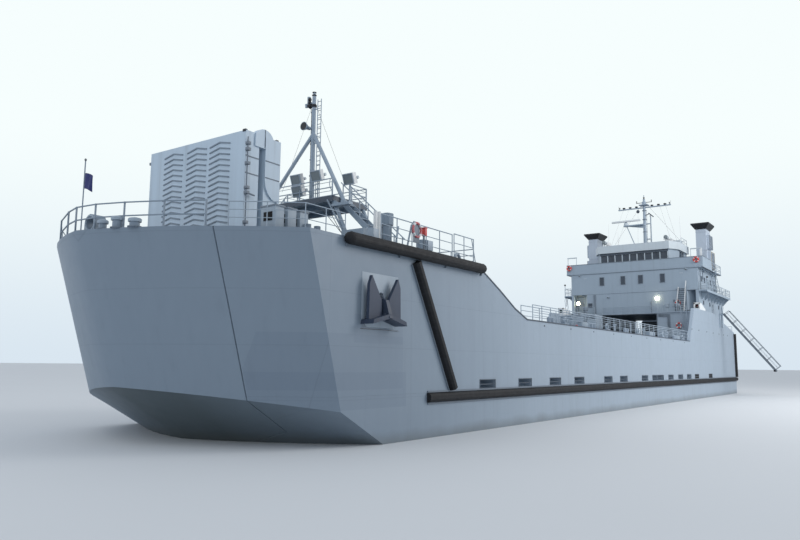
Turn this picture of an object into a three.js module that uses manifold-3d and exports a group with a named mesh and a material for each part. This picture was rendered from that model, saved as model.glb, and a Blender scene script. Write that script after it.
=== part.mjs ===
// A ramp-ended landing craft with a bow visor, as a 1:10 scale model.
// Millimetres. While the pieces are shaped, X runs forward from the transom, Y to port and Z up
// from the flat bottom; the last lines put the origin under the middle of the hull.

import * as THREE from 'three';
import { mergeVertices } from 'three/addons/utils/BufferGeometryUtils.js';
import Module from 'manifold-3d';

const wasm = await Module();
wasm.setup();

// Driving sizes of the hull
const LENGTH = 9570;
const HALF_BEAM = 915;
const DECK = 430;
const FORE_DECK = 1138;
const WALL_TOP = 870;
const WALL_THICK = 110;
const GAP = 0.3;
const LANE_HALF = 400;
// Doubler plate of the cargo deck, with a clear rim along the walls
const CARGO_PLATE = { x0: 2700, x1: 6900, half: 785, rise: 2 };

// Bow: the plan is two shallow curves that meet in a soft crease on the centre line
const NOSE = { deck: LENGTH, knuckle: 9345, bottom: 8640 };
const BOW_CREASE = 0.2;
const BOW_CURVE = 1 / 2660;
const BOW_STEPS = 7;
const KNUCKLE_Z = 461;
const KNUCKLE_FALL = 0.19;

// Bow visor and its hinge
const VISOR_HALF = 592;
const VISOR_AFT = 9040;
const VISOR_SILL = 8845;
const VISOR_SKIN = 60;
const VISOR_SIDE = 45;
const VISOR_DECK_AFT = 9165;
const SEAM = 5;
const VISOR_PIVOT = { x: 8400, z: 1200 };
const ARM = { y0: 455, y1: 500, depth: 34, boss: 42 };
const PIN_R = 14;
const PIN_FIT = 0.6;

// Side walls of the well and the rise to the forecastle
const WALL_AFT = 2637;
const WALL_FORE = 6880;
const RISE = [[6975, 874], [7149, 933], [7353, 1030], [7600, FORE_DECK]];
const CASING_AFT = 7600;

// Freeing ports by their centres along the side
const PORTS = {
  at: [7520, 7015, 6530, 6080, 5440, 5045, 4430, 4090, 3890, 3520, 3125, 2750, 2380, 1660],
  width: 185,
  z0: 441,
  z1: 487,
};

// Stern casings with their bulwark, in X and Z from the transom corner round to the wall
const CASING = { fore: 2050, step: 1330, aftDeck: 1050, deck: 1252, lip: 14 };
const WING = [[0, 1070], [926, 1204], [1342, 1270], [2250, 1270], [2372, 1266]];
const SIDELIGHT = { x0: 1760, x1: 2060, y0: 845, y1: 912, rise: 84 };
const WING_PLATE = 14;
const WING_FRONT_PLATE = 36;

// Deckhouse: a lower level over the lane, open at its front corners, and one above it
const HOUSE = { aft: 300, front: 1756 };
const LOWER = { half: 839, z0: 1262, top: 1550 };
// Open corner: back wall, inner end of the slanted cheek, and inner face of the outer wall
const ALCOVE = { back: 1640, slant: 80, outer: 806, inner: { port: 700, starboard: 618 } };
const UPPER = { aft: 690, half: 839, z0: 1545, top: 1836 };
const WALKWAY = { z0: 1532, top: 1544.7, half: 945, gusset: 96, pitch: 182 };
const BRIDGE = { deck: 1848, bulwark: 1973, plate: 12, half: 905, plateAft: 1230, aft: 650 };
const WHEELHOUSE = { front: 1640, corner: 1500, aft: 1010, frontHalf: 462, half: 542, top: 2118 };
const WINDOW = { z0: 1982, z1: 2106, count: 9, width: 86 };
// Openings in the wheelhouse's sides, two windows and a door, by their ends along X and their sill
const SIDE_OPENINGS = [
  { x0: 1300, x1: 1400, sill: 1982 },
  { x0: 1195, x1: 1285, sill: 1982 },
  { x0: 1110, x1: 1175, sill: 1868 },
];
const ROOF = { top: 2222, brow: 24 };
const ROOF_LOCKER = { x0: 1110, x1: 1250, y0: 420, y1: 520, rise: 66 };
const SEARCHLIGHT = { x: 1560, y: 420, rise: 66, aft: 25, fore: 30, r: 26, post: 6 };
const STACK = { x0: 837, x1: 1087, y0: 690, y1: 821, top: 2440 };
const STACK_CAP = { rise: 80, foot: 6, flare: 52, wall: 12, hollow: 46 };
// Louvre boxes on the stack's outer side: ends from the stack's, height and how far they stand out
const LOUVRES = [{ aft: 10, fore: 30, z0: 2170, z1: 2360, out: 30 },
  { aft: 0, fore: 50, z0: 1890, z1: 2130, out: 45 }];

// Running gear
const TUNNEL = { y: 470, z: 130, r: 125, fore: 1150 };
const PROP = { x: 330, r: 105, hub: 24, blades: 4 };
const SHAFT_R = 13;
const RUDDER = { x: 165, fore: 215, aft: 70, z0: 30, z1: 222, stock: 12, half: 12 };

// Masts
const MAIN_MAST = { x: 1049, foot: ROOF.top, r: 27, yard: 2838, yardHalf: 370, top: 2960, whip: 3020 };
const AFT_POLE = { x: 1022, y: 78, r: 8, top: 2700 };
const RADAR = { y: -255, z: 2655, length: 410, spindle: 6 };
const FORE_MAST = { x: 8069, r: 15, top: 2232, fork: 1985, legR: 12, footX: 8160, footY: 335 };
const MAST_LADDER = { y0: 31, y1: 60, top: 2205, rung: 60, bar: 4 };
const HORN = { y: -46, z: 2037, r: 28, throat: 9, length: 42 };
const PLATFORM = { x0: 7850, x1: 8180, half: 262, top: 1545, thick: 34, plate: 8, legX: [7880, 8150],
  legFoot: 425 };
const STAIRS = { x0: 8020, x1: 8105, foot: 668, treads: 8, rail: 92 };

// Floodlights of the forward platform: place in plan, height of the foot and of the head, its size
const FLOODLIGHTS = [
  { x: 8100, y: -95, foot: 1541, z: 1702, size: 78 },
  { x: 8100, y: 70, foot: 1541, z: 1704, size: 78 },
  { x: 8160, y: -24, foot: 1541, z: 1608, size: 78 },
  { x: 8160, y: 375, foot: 1486, z: 1628, size: 74 },
];

// Deck gear of the forecastle, with the doubler plate under its working space
const FORE_PAD = { x0: 8560, x1: 8830, y0: 545, y1: 790, rise: 3 };
const WINDLASS = { x0: 8250, x1: 8500, y0: 575, y1: 770, bed: 26, drum: 46, axle: 88 };
const VENTS = [{ x: 8365, y: 796, r: 24, rise: 190 }, { x: 7800, y: 640, r: 30, rise: 150 }];
const PIPES = [{ x: 8478, y: 806, r: 9, rise: 190 }, { x: 8447, y: 806, r: 9, rise: 190 }];
const BOLLARD = { r: 15, rise: 44, gap: 62 };
const FORE_BOLLARDS = [{ x: 8640, y: 850 }, { x: 8930, y: 800 }, { x: 7720, y: 850 }];
const WALL_BOLLARDS = [6450, 5600, 4750, 3900, 3050];

// Fittings on the visor's deck
const CHOCK = { x0: 9476, x1: 9530, y: 39, half: 42, rise: 76, hole: 27 };
const BOW_VENTS = [{ x: 9520, y: 122, r: 17, rise: 37 }, { x: 9500, y: 200, r: 22, rise: 46 },
  { x: 9474, y: 284, r: 22, rise: 35 }];
const JACKSTAFF = { x: 9540, y: -12, r: 2.8, rise: 322 };
const JACK = { hoist: 72, fly: 46, top: 262, thick: 4 };
const BOW_RAIL = { y: [-560, -400, -171, -46, 86, 229, 400, 560], inset: 14, height: 118 };

// Ramps
const RAMP = { x0: 8730, x1: 8830, half: 373, foot: 446, top: 1690, hinges: [-300, -100, 100, 300] };
const CHEEK = { thick: 9, foot: 1373, inner: 1478, low: 700, steps: 4 };
const FLAP = { x0: 8865, x1: 8954, half: 373, foot: 905, top: 1697 };
const KNUCKLE = { x: 8836, z: 1672, rx: 62, rz: 56, drop: 42, y0: 350, y1: 380 };
const STERN_RAMP = { x0: 20, x1: 74, half: 380, foot: 454, top: 1260, ribs: [-340, -170, 0, 170, 340] };
const STERN_HINGE = { x: 6, z: 444, pin: 5, boss: 9, at: [-260, 260] };

// Rails: post and bar thickness, the bars' tops as shares of the height, and the usual bay
const RAIL_POST = 6;
const RAIL_BAR = 5;
const RAIL_LEVELS = [0.5, 1];
const RAIL_HEIGHT = 106;
const FORE_RAIL_HEIGHT = 152;
const RAIL_BAY = 300;

// Anchor, in its place on the side
const ANCHOR = { x: 8590, half: 132, foot: 758, top: 975, stand: 26, plate: 16 };

// Fenders: the round one at the sheer, and flat-backed ones by their line in X and Z,
// half width and how far they stand out
const UPPER_FENDER = { aft: 7596, fore: 8860, z: 1128, r: 30 };
const RUBBINGS = [
  { label: 'rub_rail', from: [0, 406], to: [8170, 406], half: 24, out: 26 },
  { label: 'diagonal_fender', from: [7930, 449], to: [8290, 1086], half: 26, out: 36 },
  { label: 'stern_fender', from: [28, 436], to: [28, 1050], half: 22, out: 30 },
];

// Accommodation ladder on the port quarter
const LADDER = { x: 905, y: 962, z: 1292, length: 975, width: 90, angle: -51.8, treads: 18 };

const paint = (color, roughness = 0.6, metalness = 0.1) =>
  new THREE.MeshStandardMaterial({ color, roughness, metalness });

const HULL_GREY = 0x98a4b1;
const HOUSE_GREY = 0xa3aeba;
const DECK_GREY = 0x4a5055;
const RUBBER = 0x17191b;
const BLACK = 0x1d2023;
const BRONZE = 0x9a7a3e;
const WHITE = 0xd9dcdd;
const FLAG_BLUE = 0x2b3268;

// Shapes

const X_AXIS = new THREE.Vector3(1, 0, 0);
const Y_AXIS = new THREE.Vector3(0, 1, 0);
const Z_AXIS = new THREE.Vector3(0, 0, 1);

function shapeOf(points, holes = []) {
  const shape = new THREE.Shape(points.map(([a, b]) => new THREE.Vector2(a, b)));
  for (const hole of holes) {
    shape.holes.push(new THREE.Path(hole.map(([a, b]) => new THREE.Vector2(a, b))));
  }
  return shape;
}

function extrude(points, depth, holes) {
  return new THREE.ExtrudeGeometry(shapeOf(points, holes), { depth, bevelEnabled: false });
}

// Outline in X and Z, as deep as y0 to y1
function prismY(points, y0, y1, holes) {
  const geometry = extrude(points, y1 - y0, holes);
  geometry.rotateX(Math.PI / 2);
  return geometry.translate(0, y1, 0);
}

// Outline in Y and Z, from x0 to x1
function prismX(points, x0, x1, holes) {
  const geometry = extrude(points, x1 - x0, holes);
  geometry.applyMatrix4(new THREE.Matrix4().makeBasis(Y_AXIS, Z_AXIS, X_AXIS));
  return geometry.translate(x0, 0, 0);
}

// Outline in X and Y, from z0 to z1
function prismZ(points, z0, z1, holes) {
  return extrude(points, z1 - z0, holes).translate(0, 0, z0);
}

function box(x0, x1, y0, y1, z0, z1) {
  const geometry = new THREE.BoxGeometry(x1 - x0, y1 - y0, z1 - z0);
  return geometry.translate((x0 + x1) / 2, (y0 + y1) / 2, (z0 + z1) / 2);
}

function vec(x, y, z) {
  return new THREE.Vector3(x, y, z);
}

// A round bar, or a tapered one, between two points
function rod(a, b, r, sides = 8, rEnd = r) {
  const along = b.clone().sub(a);
  const geometry = new THREE.CylinderGeometry(rEnd, r, along.length(), sides);
  const turn = new THREE.Quaternion().setFromUnitVectors(Y_AXIS, along.normalize());
  geometry.applyQuaternion(turn);
  return geometry.translate((a.x + b.x) / 2, (a.y + b.y) / 2, (a.z + b.z) / 2);
}

// Solids

function solid(geometry) {
  const bare = geometry.clone();
  bare.deleteAttribute('normal');
  bare.deleteAttribute('uv');
  const merged = mergeVertices(bare, 1e-3);
  return new wasm.Manifold(new wasm.Mesh({
    numProp: 3,
    vertProperties: new Float32Array(merged.attributes.position.array),
    triVerts: new Uint32Array(merged.index.array),
  }));
}

const asSolid = (item) => (item.isBufferGeometry ? solid(item) : item);

function join(...items) {
  return items.map(asSolid).reduce((whole, item) => whole.add(item));
}

function cut(item, ...tools) {
  return tools.map(asSolid).reduce((whole, tool) => whole.subtract(tool), asSolid(item));
}

function keep(item, region) {
  return asSolid(item).intersect(asSolid(region));
}

function geometryOf(item) {
  if (item.isBufferGeometry) return item;
  const mesh = item.getMesh();
  const geometry = new THREE.BufferGeometry();
  geometry.setAttribute('position', new THREE.BufferAttribute(mesh.vertProperties, 3));
  geometry.setIndex(new THREE.BufferAttribute(mesh.triVerts, 1));
  const flat = geometry.toNonIndexed();
  flat.computeVertexNormals();
  return flat;
}

const craft = new THREE.Group();
craft.name = 'landing_craft';

function add(name, item, material) {
  const mesh = new THREE.Mesh(geometryOf(item), material);
  mesh.name = name;
  craft.add(mesh);
  return mesh;
}

const SIDES = [
  { name: 'port', side: 1 },
  { name: 'starboard', side: -1 },
];

// A box given for the port side, put on either side
function sideBox(side, x0, x1, y0, y1, z0, z1) {
  return side > 0 ? box(x0, x1, y0, y1, z0, z1) : box(x0, x1, -y1, -y0, z0, z1);
}

function sidePrismX(side, points, x0, x1) {
  return prismX(points.map(([y, z]) => [side * y, z]), x0, x1);
}

function sidePrismY(side, points, y0, y1, holes) {
  return side > 0 ? prismY(points, y0, y1, holes) : prismY(points, -y1, -y0, holes);
}

// Hull form

function bowDrop(y) {
  return BOW_CREASE * Math.abs(y) + BOW_CURVE * y * y;
}

// One level of the hull, from the starboard transom corner round the bow to port
function hullRing(noseX, heightAt) {
  const ring = [vec(0, -HALF_BEAM, heightAt(bowDrop(HALF_BEAM)))];
  for (let i = -BOW_STEPS; i <= BOW_STEPS; i += 1) {
    const y = (HALF_BEAM * i) / BOW_STEPS;
    const drop = bowDrop(y);
    ring.push(vec(noseX - drop, y, heightAt(drop)));
  }
  ring.push(vec(0, HALF_BEAM, heightAt(bowDrop(HALF_BEAM))));
  return ring;
}

// Skin over a stack of rings, with flat ends
function loft(rings) {
  const count = rings[0].length;
  const index = [];
  for (let level = 0; level < rings.length - 1; level += 1) {
    for (let i = 0; i < count; i += 1) {
      const a = level * count + i;
      const b = level * count + ((i + 1) % count);
      index.push(a, b, b + count, a, b + count, a + count);
    }
  }
  const faces = THREE.ShapeUtils.triangulateShape(rings[0].map((p) => new THREE.Vector2(p.x, p.y)), []);
  const top = (rings.length - 1) * count;
  for (const [a, b, c] of faces) {
    index.push(c, b, a);
    index.push(top + a, top + b, top + c);
  }
  const geometry = new THREE.BufferGeometry().setFromPoints(rings.flat());
  geometry.setIndex(index);
  return geometry;
}

function hullForm(aftShift = 0, lift = 0) {
  return solid(loft([
    hullRing(NOSE.bottom - aftShift, () => lift),
    hullRing(NOSE.knuckle - aftShift, (drop) => KNUCKLE_Z + lift - KNUCKLE_FALL * drop),
    hullRing(NOSE.deck - aftShift, () => FORE_DECK + lift),
  ]));
}

const form = hullForm();

function bladeOutline(r) {
  return [[-6, 0], [-34, 0.42 * r], [-26, 0.85 * r], [0, r], [22, 0.86 * r], [30, 0.42 * r], [6, 0]];
}

function propeller(side) {
  const hub = rod(vec(PROP.x - 30, 0, 0), vec(PROP.x + 30, 0, 0), PROP.hub, 12, PROP.hub * 0.8);
  const parts = [hub, rod(vec(PROP.x, 0, 0), vec(TUNNEL.fore + 55, 0, 0), SHAFT_R, 12)];
  for (let i = 0; i < PROP.blades; i += 1) {
    const blade = extrude(bladeOutline(PROP.r), 5);
    blade.translate(0, 0, -2.5);
    blade.rotateY(Math.PI / 2 - 0.5 * side);
    blade.rotateX(Math.PI / 2 + (2 * Math.PI * i) / PROP.blades);
    blade.translate(PROP.x, 0, 0);
    parts.push(blade);
  }
  return join(...parts).translate([0, side * TUNNEL.y, TUNNEL.z]);
}

function shaftStrut(side) {
  const centre = vec(455, side * TUNNEL.y, TUNNEL.z);
  const roofZ = TUNNEL.z + TUNNEL.r + 12;
  return cut(
    join(
      rod(vec(425, centre.y, centre.z), vec(485, centre.y, centre.z), 25, 12),
      box(438, 472, centre.y - 6, centre.y + 6, centre.z + 10, roofZ),
    ),
    rod(vec(400, centre.y, centre.z), vec(510, centre.y, centre.z), SHAFT_R + PIN_FIT, 12),
  );
}

function buildHull() {
  const sternRise = [[-10, -10], [1500, -10], [1500, 0], [650, 185], [-10, 185]];
  let hull = cut(
    form,
    box(-10, LENGTH + 10, -1000, 1000, DECK, 1200),
    box(VISOR_SILL - SEAM, LENGTH + 10, -VISOR_HALF - SEAM, VISOR_HALF + SEAM, -10, 1200),
    prismY(sternRise, -1000, 1000),
  );
  for (const { side } of SIDES) {
    const y = side * TUNNEL.y;
    const bilge = prismX([[side * 875, -5], [side * 920, -5], [side * 920, 40]], -10, LENGTH);
    hull = cut(
      hull,
      rod(vec(-10, y, TUNNEL.z), vec(TUNNEL.fore, y, TUNNEL.z), TUNNEL.r, 20),
      rod(vec(TUNNEL.fore - 5, y, TUNNEL.z), vec(TUNNEL.fore + 60, y, TUNNEL.z), SHAFT_R + PIN_FIT, 12),
      rod(vec(RUDDER.x, y, 200), vec(RUDDER.x, y, 306), RUDDER.stock + PIN_FIT, 12),
      bilge,
    );
    hull = join(hull, shaftStrut(side));
  }
  const { x0, x1, half, rise } = CARGO_PLATE;
  return join(hull, box(x0, x1, -half, half, DECK - 5, DECK + rise), ...sternHingeLugs());
}

// Two pairs of lugs on the deck edge, each with its pin
function sternHingeLugs() {
  const { x, z, pin, boss } = STERN_HINGE;
  return STERN_HINGE.at.flatMap((y) => [
    ...[y - 24, y + 24].flatMap((mid) => [
      box(x - boss, x + boss, mid - 6, mid + 6, DECK - 20, z),
      rod(vec(x, mid - 6, z), vec(x, mid + 6, z), boss, 12),
    ]),
    rod(vec(x, y - 24, z), vec(x, y + 24, z), pin, 10),
  ]);
}

function buildSternRamp() {
  const { x0, x1, half, foot, top, ribs } = STERN_RAMP;
  const { x, z, pin, boss } = STERN_HINGE;
  const knuckles = STERN_HINGE.at.map((y) => join(
    rod(vec(x, y - 17, z), vec(x, y + 17, z), boss, 12),
    box(x, x0 + 20, y - 17, y + 17, z - boss, z + boss + 12),
  ));
  const bores = STERN_HINGE.at.map((y) => rod(vec(x, y - 30, z), vec(x, y + 30, z), pin + PIN_FIT, 12));
  const stiffeners = ribs.map((y) => box(x0 - 12, x0 + 5, y - 8, y + 8, foot + 30, top - 20));
  return cut(join(box(x0, x1, -half, half, foot, top), ...knuckles, ...stiffeners), ...bores);
}

// Visor

function buildVisor() {
  const outerRegion = join(
    box(VISOR_AFT, LENGTH + 10, -VISOR_HALF, VISOR_HALF, DECK - 5, 1200),
    box(VISOR_SILL, LENGTH + 10, -VISOR_HALF, VISOR_HALF, -10, DECK),
  );
  const hollowHalf = VISOR_HALF - VISOR_SIDE;
  const hollow = keep(
    hullForm(VISOR_SKIN, VISOR_SKIN * 0.6),
    box(VISOR_SILL - 20, LENGTH, -hollowHalf, hollowHalf, -10, FORE_DECK - 36),
  );
  const notchHalf = LANE_HALF + 12;
  const deckNotch = box(VISOR_AFT - 20, VISOR_DECK_AFT, -notchHalf, notchHalf, FORE_DECK - 60, 1200);
  const shell = cut(keep(form, outerRegion), hollow, deckNotch);
  return join(shell, visorArm(1), visorArm(-1), ...visorFittings());
}

// Chock, vents, jackstaff and rail on the visor's deck
function visorFittings() {
  const { x0, x1, y, half, rise, hole } = CHOCK;
  const deck = FORE_DECK - 4;
  const centre = FORE_DECK + rise - half;
  const chock = cut(
    join(
      box(x0, x1, y - half, y + half, deck, centre),
      rod(vec(x0, y, centre), vec(x1, y, centre), half, 16),
    ),
    rod(vec(x0 - 5, y, centre), vec(x1 + 5, y, centre), hole, 12),
  );
  const vents = BOW_VENTS.map((vent) =>
    rod(vec(vent.x, vent.y, deck), vec(vent.x, vent.y, FORE_DECK + vent.rise), vent.r, 10));
  const staffTop = FORE_DECK + JACKSTAFF.rise;
  const staff = rod(vec(JACKSTAFF.x, JACKSTAFF.y, deck), vec(JACKSTAFF.x, JACKSTAFF.y, staffTop),
    JACKSTAFF.r);
  const line = BOW_RAIL.y.map((at) => [NOSE.deck - bowDrop(at) - BOW_RAIL.inset, at]);
  const rail = railPath(line, FORE_DECK - 3, BOW_RAIL.height, 500);
  return [chock, ...vents, staff, rail];
}

// The small flag on the jackstaff
function buildJack() {
  const { hoist, fly, top, thick } = JACK;
  const y0 = JACKSTAFF.y + JACKSTAFF.r + GAP;
  const z1 = FORE_DECK + top;
  const outline = [[y0, z1 - hoist], [y0 + fly, z1 - hoist - 14], [y0 + fly, z1 - 44], [y0, z1]];
  return prismX(outline, JACKSTAFF.x - thick / 2, JACKSTAFF.x + thick / 2);
}

function visorArm(side) {
  const { x, z } = VISOR_PIVOT;
  const y0 = side > 0 ? ARM.y0 : -ARM.y1;
  const y1 = side > 0 ? ARM.y1 : -ARM.y0;
  const beam = [
    [x, z - ARM.depth], [VISOR_AFT - 60, FORE_DECK + 8], [VISOR_AFT + 10, FORE_DECK + 4],
    [VISOR_AFT + 10, FORE_DECK - 60], [VISOR_AFT + 70, FORE_DECK - 60], [VISOR_AFT + 70, FORE_DECK + 40],
    [x, z + ARM.depth],
  ];
  const arm = join(prismY(beam, y0, y1), rod(vec(x, y0, z), vec(x, y1, z), ARM.boss, 16));
  return cut(arm, rod(vec(x, y0 - 5, z), vec(x, y1 + 5, z), PIN_R + 1, 16));
}

function visorBracket(side) {
  const { x, z } = VISOR_PIVOT;
  const cheek = [[x - 60, FORE_DECK - 5], [x + 60, FORE_DECK - 5], [x + 22, z + 26], [x - 22, z + 26]];
  const mid = (ARM.y0 + ARM.y1) / 2;
  const half = (ARM.y1 - ARM.y0) / 2;
  return join(
    sidePrismY(side, cheek, mid - half - 22, mid - half - 6),
    sidePrismY(side, cheek, mid + half + 6, mid + half + 22),
    rod(vec(x, side * (mid - half - 10), z), vec(x, side * (mid + half + 10), z), PIN_R, 16),
  );
}

// Forecastle side with the rise from the wall, cut from the hull form
function buildForecastle(side) {
  const outline = [[WALL_FORE, DECK + GAP], [WALL_FORE, WALL_TOP], ...RISE,
    [LENGTH, FORE_DECK], [LENGTH, DECK + GAP]];
  const wall = keep(form, sidePrismY(side, outline, HALF_BEAM - WALL_THICK, HALF_BEAM + 5));
  const inner = HALF_BEAM - WALL_THICK + 1;
  const block = keep(form, sideBox(side, CASING_AFT, LENGTH, LANE_HALF, inner, DECK + GAP, FORE_DECK));
  const pocket = sideBox(side, VISOR_AFT - SEAM, LENGTH + 10, 0, VISOR_HALF + SEAM, DECK, 1200);
  // Room for the visor's sill, which swings up through here
  const sillSweep = [[VISOR_SILL - 20, DECK - 5], [VISOR_AFT, DECK - 5], [VISOR_AFT, DECK + 170]];
  const sweep = sidePrismY(side, sillSweep, 0, VISOR_HALF + SEAM);
  const shell = cut(join(wall, block), pocket, sweep, ...freeingPorts(side));
  return join(shell, visorBracket(side), ...deckFittings(side));
}

function deckFittings(side) {
  const vents = VENTS.flatMap(({ x, y, r, rise }) => [
    rod(vec(x, side * y, FORE_DECK - 4), vec(x, side * y, FORE_DECK + rise), r, 10),
    rod(vec(x, side * y, FORE_DECK + rise - 52), vec(x, side * y, FORE_DECK + rise + 8), r + 8, 10),
  ]);
  const pipes = PIPES.map(({ x, y, r, rise }) =>
    rod(vec(x, side * y, FORE_DECK - 4), vec(x, side * y, FORE_DECK + rise), r, 6));
  const posts = FORE_BOLLARDS.flatMap(({ x, y }) => bollards(side, x, y, FORE_DECK));
  const { x0, x1, y0, y1, rise } = FORE_PAD;
  const pad = sideBox(side, x0, x1, y0, y1, FORE_DECK - 4, FORE_DECK + rise);
  return [...vents, ...pipes, ...posts, pad];
}

function freeingPorts(side) {
  const inner = HALF_BEAM - WALL_THICK - 5;
  return PORTS.at.map((x) => sideBox(side, x - PORTS.width / 2, x + PORTS.width / 2, inner,
    HALF_BEAM + 5, PORTS.z0, PORTS.z1));
}

// Two posts on one foot plate, let into the deck
function bollards(side, x, y, deck) {
  const { r, rise, gap } = BOLLARD;
  const posts = [x - gap / 2, x + gap / 2].map((at) =>
    rod(vec(at, side * y, deck - 4), vec(at, side * y, deck + rise), r, 8));
  return [sideBox(side, x - gap, x + gap, y - r - 5, y + r + 5, deck - 4, deck + 5), ...posts];
}

function buildWall(side) {
  const inner = HALF_BEAM - WALL_THICK;
  const wall = sideBox(side, WALL_AFT, WALL_FORE - GAP, inner, HALF_BEAM, DECK + GAP, WALL_TOP);
  const posts = WALL_BOLLARDS.flatMap((x) => bollards(side, x, HALF_BEAM - 62, WALL_TOP));
  return join(cut(wall, ...freeingPorts(side)), ...posts);
}

// Stern casing: bulwark shell, two levels of decked block, front ledge and sidelight hood
function buildSternCasing(side) {
  const { fore, step, aftDeck, deck, lip } = CASING;
  const inner = HALF_BEAM - WALL_THICK + 1;
  const outline = [[0, DECK + GAP], [WALL_AFT - GAP, DECK + GAP], [WALL_AFT - GAP, WALL_TOP],
    ...[...WING].reverse()];
  const shell = sidePrismY(side, outline, HALF_BEAM - WALL_THICK, HALF_BEAM);
  const block = sideBox(side, 0, fore, LANE_HALF, inner, DECK + GAP, aftDeck);
  const upper = sideBox(side, step, fore, LANE_HALF, inner, aftDeck - 10, deck);
  const well = sideBox(side, step, fore + 320, LANE_HALF - 10, HALF_BEAM - WING_PLATE, deck, 1400);
  const sternWell = sideBox(side, -10, step, LANE_HALF - 10, HALF_BEAM - WING_PLATE, aftDeck, 1400);
  const plate = HALF_BEAM - WING_FRONT_PLATE;
  const landing = sideBox(side, fore, WALL_AFT + 10, LANE_HALF, plate, WALL_TOP, 1400);
  const ledge = sideBox(side, fore - 20, fore + lip, LANE_HALF, inner + 4, deck - 8, deck + 6);
  const { x0, x1, y0, y1, rise } = SIDELIGHT;
  const top = WING[3][1];
  const hoodOutline = [[x0, top - 30], [x1, top - 30], [x1, top + rise - 12], [x1 - 16, top + rise],
    [x1 - 90, top + rise], [x0, top + 20]];
  const hood = cut(sidePrismY(side, hoodOutline, y0, y1),
    sideBox(side, x1 - 24, x1 + 5, y0 + 12, y1 - 12, top + 18, top + rise - 16));
  return join(cut(join(shell, block, upper), well, sternWell, landing), ledge, hood);
}

// Deckhouse: legs on the casings, the level that bridges the lane, and the wider one above
function buildHouse() {
  const { aft, front } = HOUSE;
  const { step, aftDeck, deck } = CASING;
  const alcoves = SIDES.map(({ name, side }) => {
    const y = ALCOVE.inner[name];
    const plan = [[front + 10, y], [front, y], [ALCOVE.back, y + ALCOVE.slant], [ALCOVE.back, ALCOVE.outer],
      [front + 10, ALCOVE.outer]];
    return prismZ(plan.map(([a, b]) => [a, side * b]), LOWER.z0 + 4, UPPER.z0);
  });
  const legs = SIDES.flatMap(({ side }) => [
    sideBox(side, step + GAP, front, LANE_HALF, LOWER.half, deck + GAP, LOWER.z0 + 5),
    sideBox(side, aft, step - GAP, LANE_HALF, LOWER.half, aftDeck + GAP, LOWER.z0 + 5),
  ]);
  return join(
    cut(box(aft, front, -LOWER.half, LOWER.half, LOWER.z0, LOWER.top), ...alcoves),
    box(UPPER.aft, front, -UPPER.half, UPPER.half, UPPER.z0, UPPER.top),
    ...legs,
  );
}

// Side walkway along the deckhouse: plate, gussets under it and rail on its outer edge
function buildWalkway(side) {
  const { z0, top, half, gusset, pitch } = WALKWAY;
  const inner = LOWER.half + GAP;
  const parts = [
    sideBox(side, HOUSE.aft, HOUSE.front, inner, half, z0, top),
    sideBox(side, HOUSE.aft, HOUSE.front, half - 8, half, z0 - 14, top),
  ];
  const outline = [[inner, z0 - gusset], [inner + 12, z0 - gusset], [inner + 70, z0 - 34],
    [half - 12, z0 - 10], [half - 12, z0 + 2], [inner, z0 + 2]];
  for (let x = HOUSE.aft + 30; x < HOUSE.front; x += pitch) {
    parts.push(sidePrismX(side, outline, x, x + 7));
  }
  const edge = side * (half - 6);
  parts.push(railPath([[HOUSE.aft + 5, side * (inner + 8)], [HOUSE.aft + 5, edge], [HOUSE.front - 5, edge],
    [HOUSE.front - 5, side * (UPPER.half + 12)]], top - 2));
  return join(...parts);
}

function buildBridge() {
  const { deck, bulwark, plate, half, plateAft, aft } = BRIDGE;
  const edge = half - plate / 2;
  const slab = box(aft, HOUSE.front + 4, -half, half, UPPER.top + GAP, deck);
  const front = box(HOUSE.front - plate, HOUSE.front, -half, half, deck - 1, bulwark);
  const ends = SIDES.map(({ side }) =>
    sideBox(side, plateAft, HOUSE.front, half - plate, half, deck - 1, bulwark));
  const sternEdge = aft + 5;
  const line = [[plateAft, edge], [sternEdge, edge], [sternEdge, -edge], [plateAft, -edge]];
  const rail = railPath(line, deck - 2, bulwark - deck - 9);
  return join(slab, front, ...ends, rail);
}

function wheelhousePlan(grow = 0) {
  const { front, corner, aft, frontHalf, half } = WHEELHOUSE;
  return [
    [aft - grow, -half - grow], [corner, -half - grow], [front + grow, -frontHalf - grow * 0.6],
    [front + grow, frontHalf + grow * 0.6], [corner, half + grow], [aft - grow, half + grow],
  ];
}

function buildWheelhouse() {
  const { front, frontHalf, half, top } = WHEELHOUSE;
  const outer = prismZ(wheelhousePlan(), BRIDGE.deck + GAP, top);
  const inner = prismZ(wheelhousePlan(-14), BRIDGE.deck + 14, top + 5);
  const tools = [inner];
  const pitch = (2 * frontHalf - 20) / WINDOW.count;
  for (let i = 0; i < WINDOW.count; i += 1) {
    const y = (i - (WINDOW.count - 1) / 2) * pitch;
    const [y0, y1] = [y - WINDOW.width / 2, y + WINDOW.width / 2];
    tools.push(box(front - 30, front + 10, y0, y1, WINDOW.z0, WINDOW.z1));
  }
  for (const { side } of SIDES) {
    for (const { x0, x1, sill } of SIDE_OPENINGS) {
      tools.push(sideBox(side, x0, x1, half - 30, half + 10, sill, WINDOW.z1));
    }
  }
  return cut(outer, ...tools);
}

// Roof with a locker and two searchlights
function buildRoof() {
  const roof = prismZ(wheelhousePlan(ROOF.brow), WHEELHOUSE.top + GAP, ROOF.top);
  const { x0, x1, y0, y1 } = ROOF_LOCKER;
  const locker = box(x0, x1, y0, y1, ROOF.top - 4, ROOF.top + ROOF_LOCKER.rise);
  const { x, aft, fore, r, post } = SEARCHLIGHT;
  const z = ROOF.top + SEARCHLIGHT.rise;
  const lights = SIDES.flatMap(({ side }) => {
    const y = side * SEARCHLIGHT.y;
    return [
      rod(vec(x, y, ROOF.top - 4), vec(x, y, z - r + 4), post, 8),
      rod(vec(x - aft, y, z), vec(x + fore, y, z), r, 14),
    ];
  });
  return join(roof, locker, ...lights);
}

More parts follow.
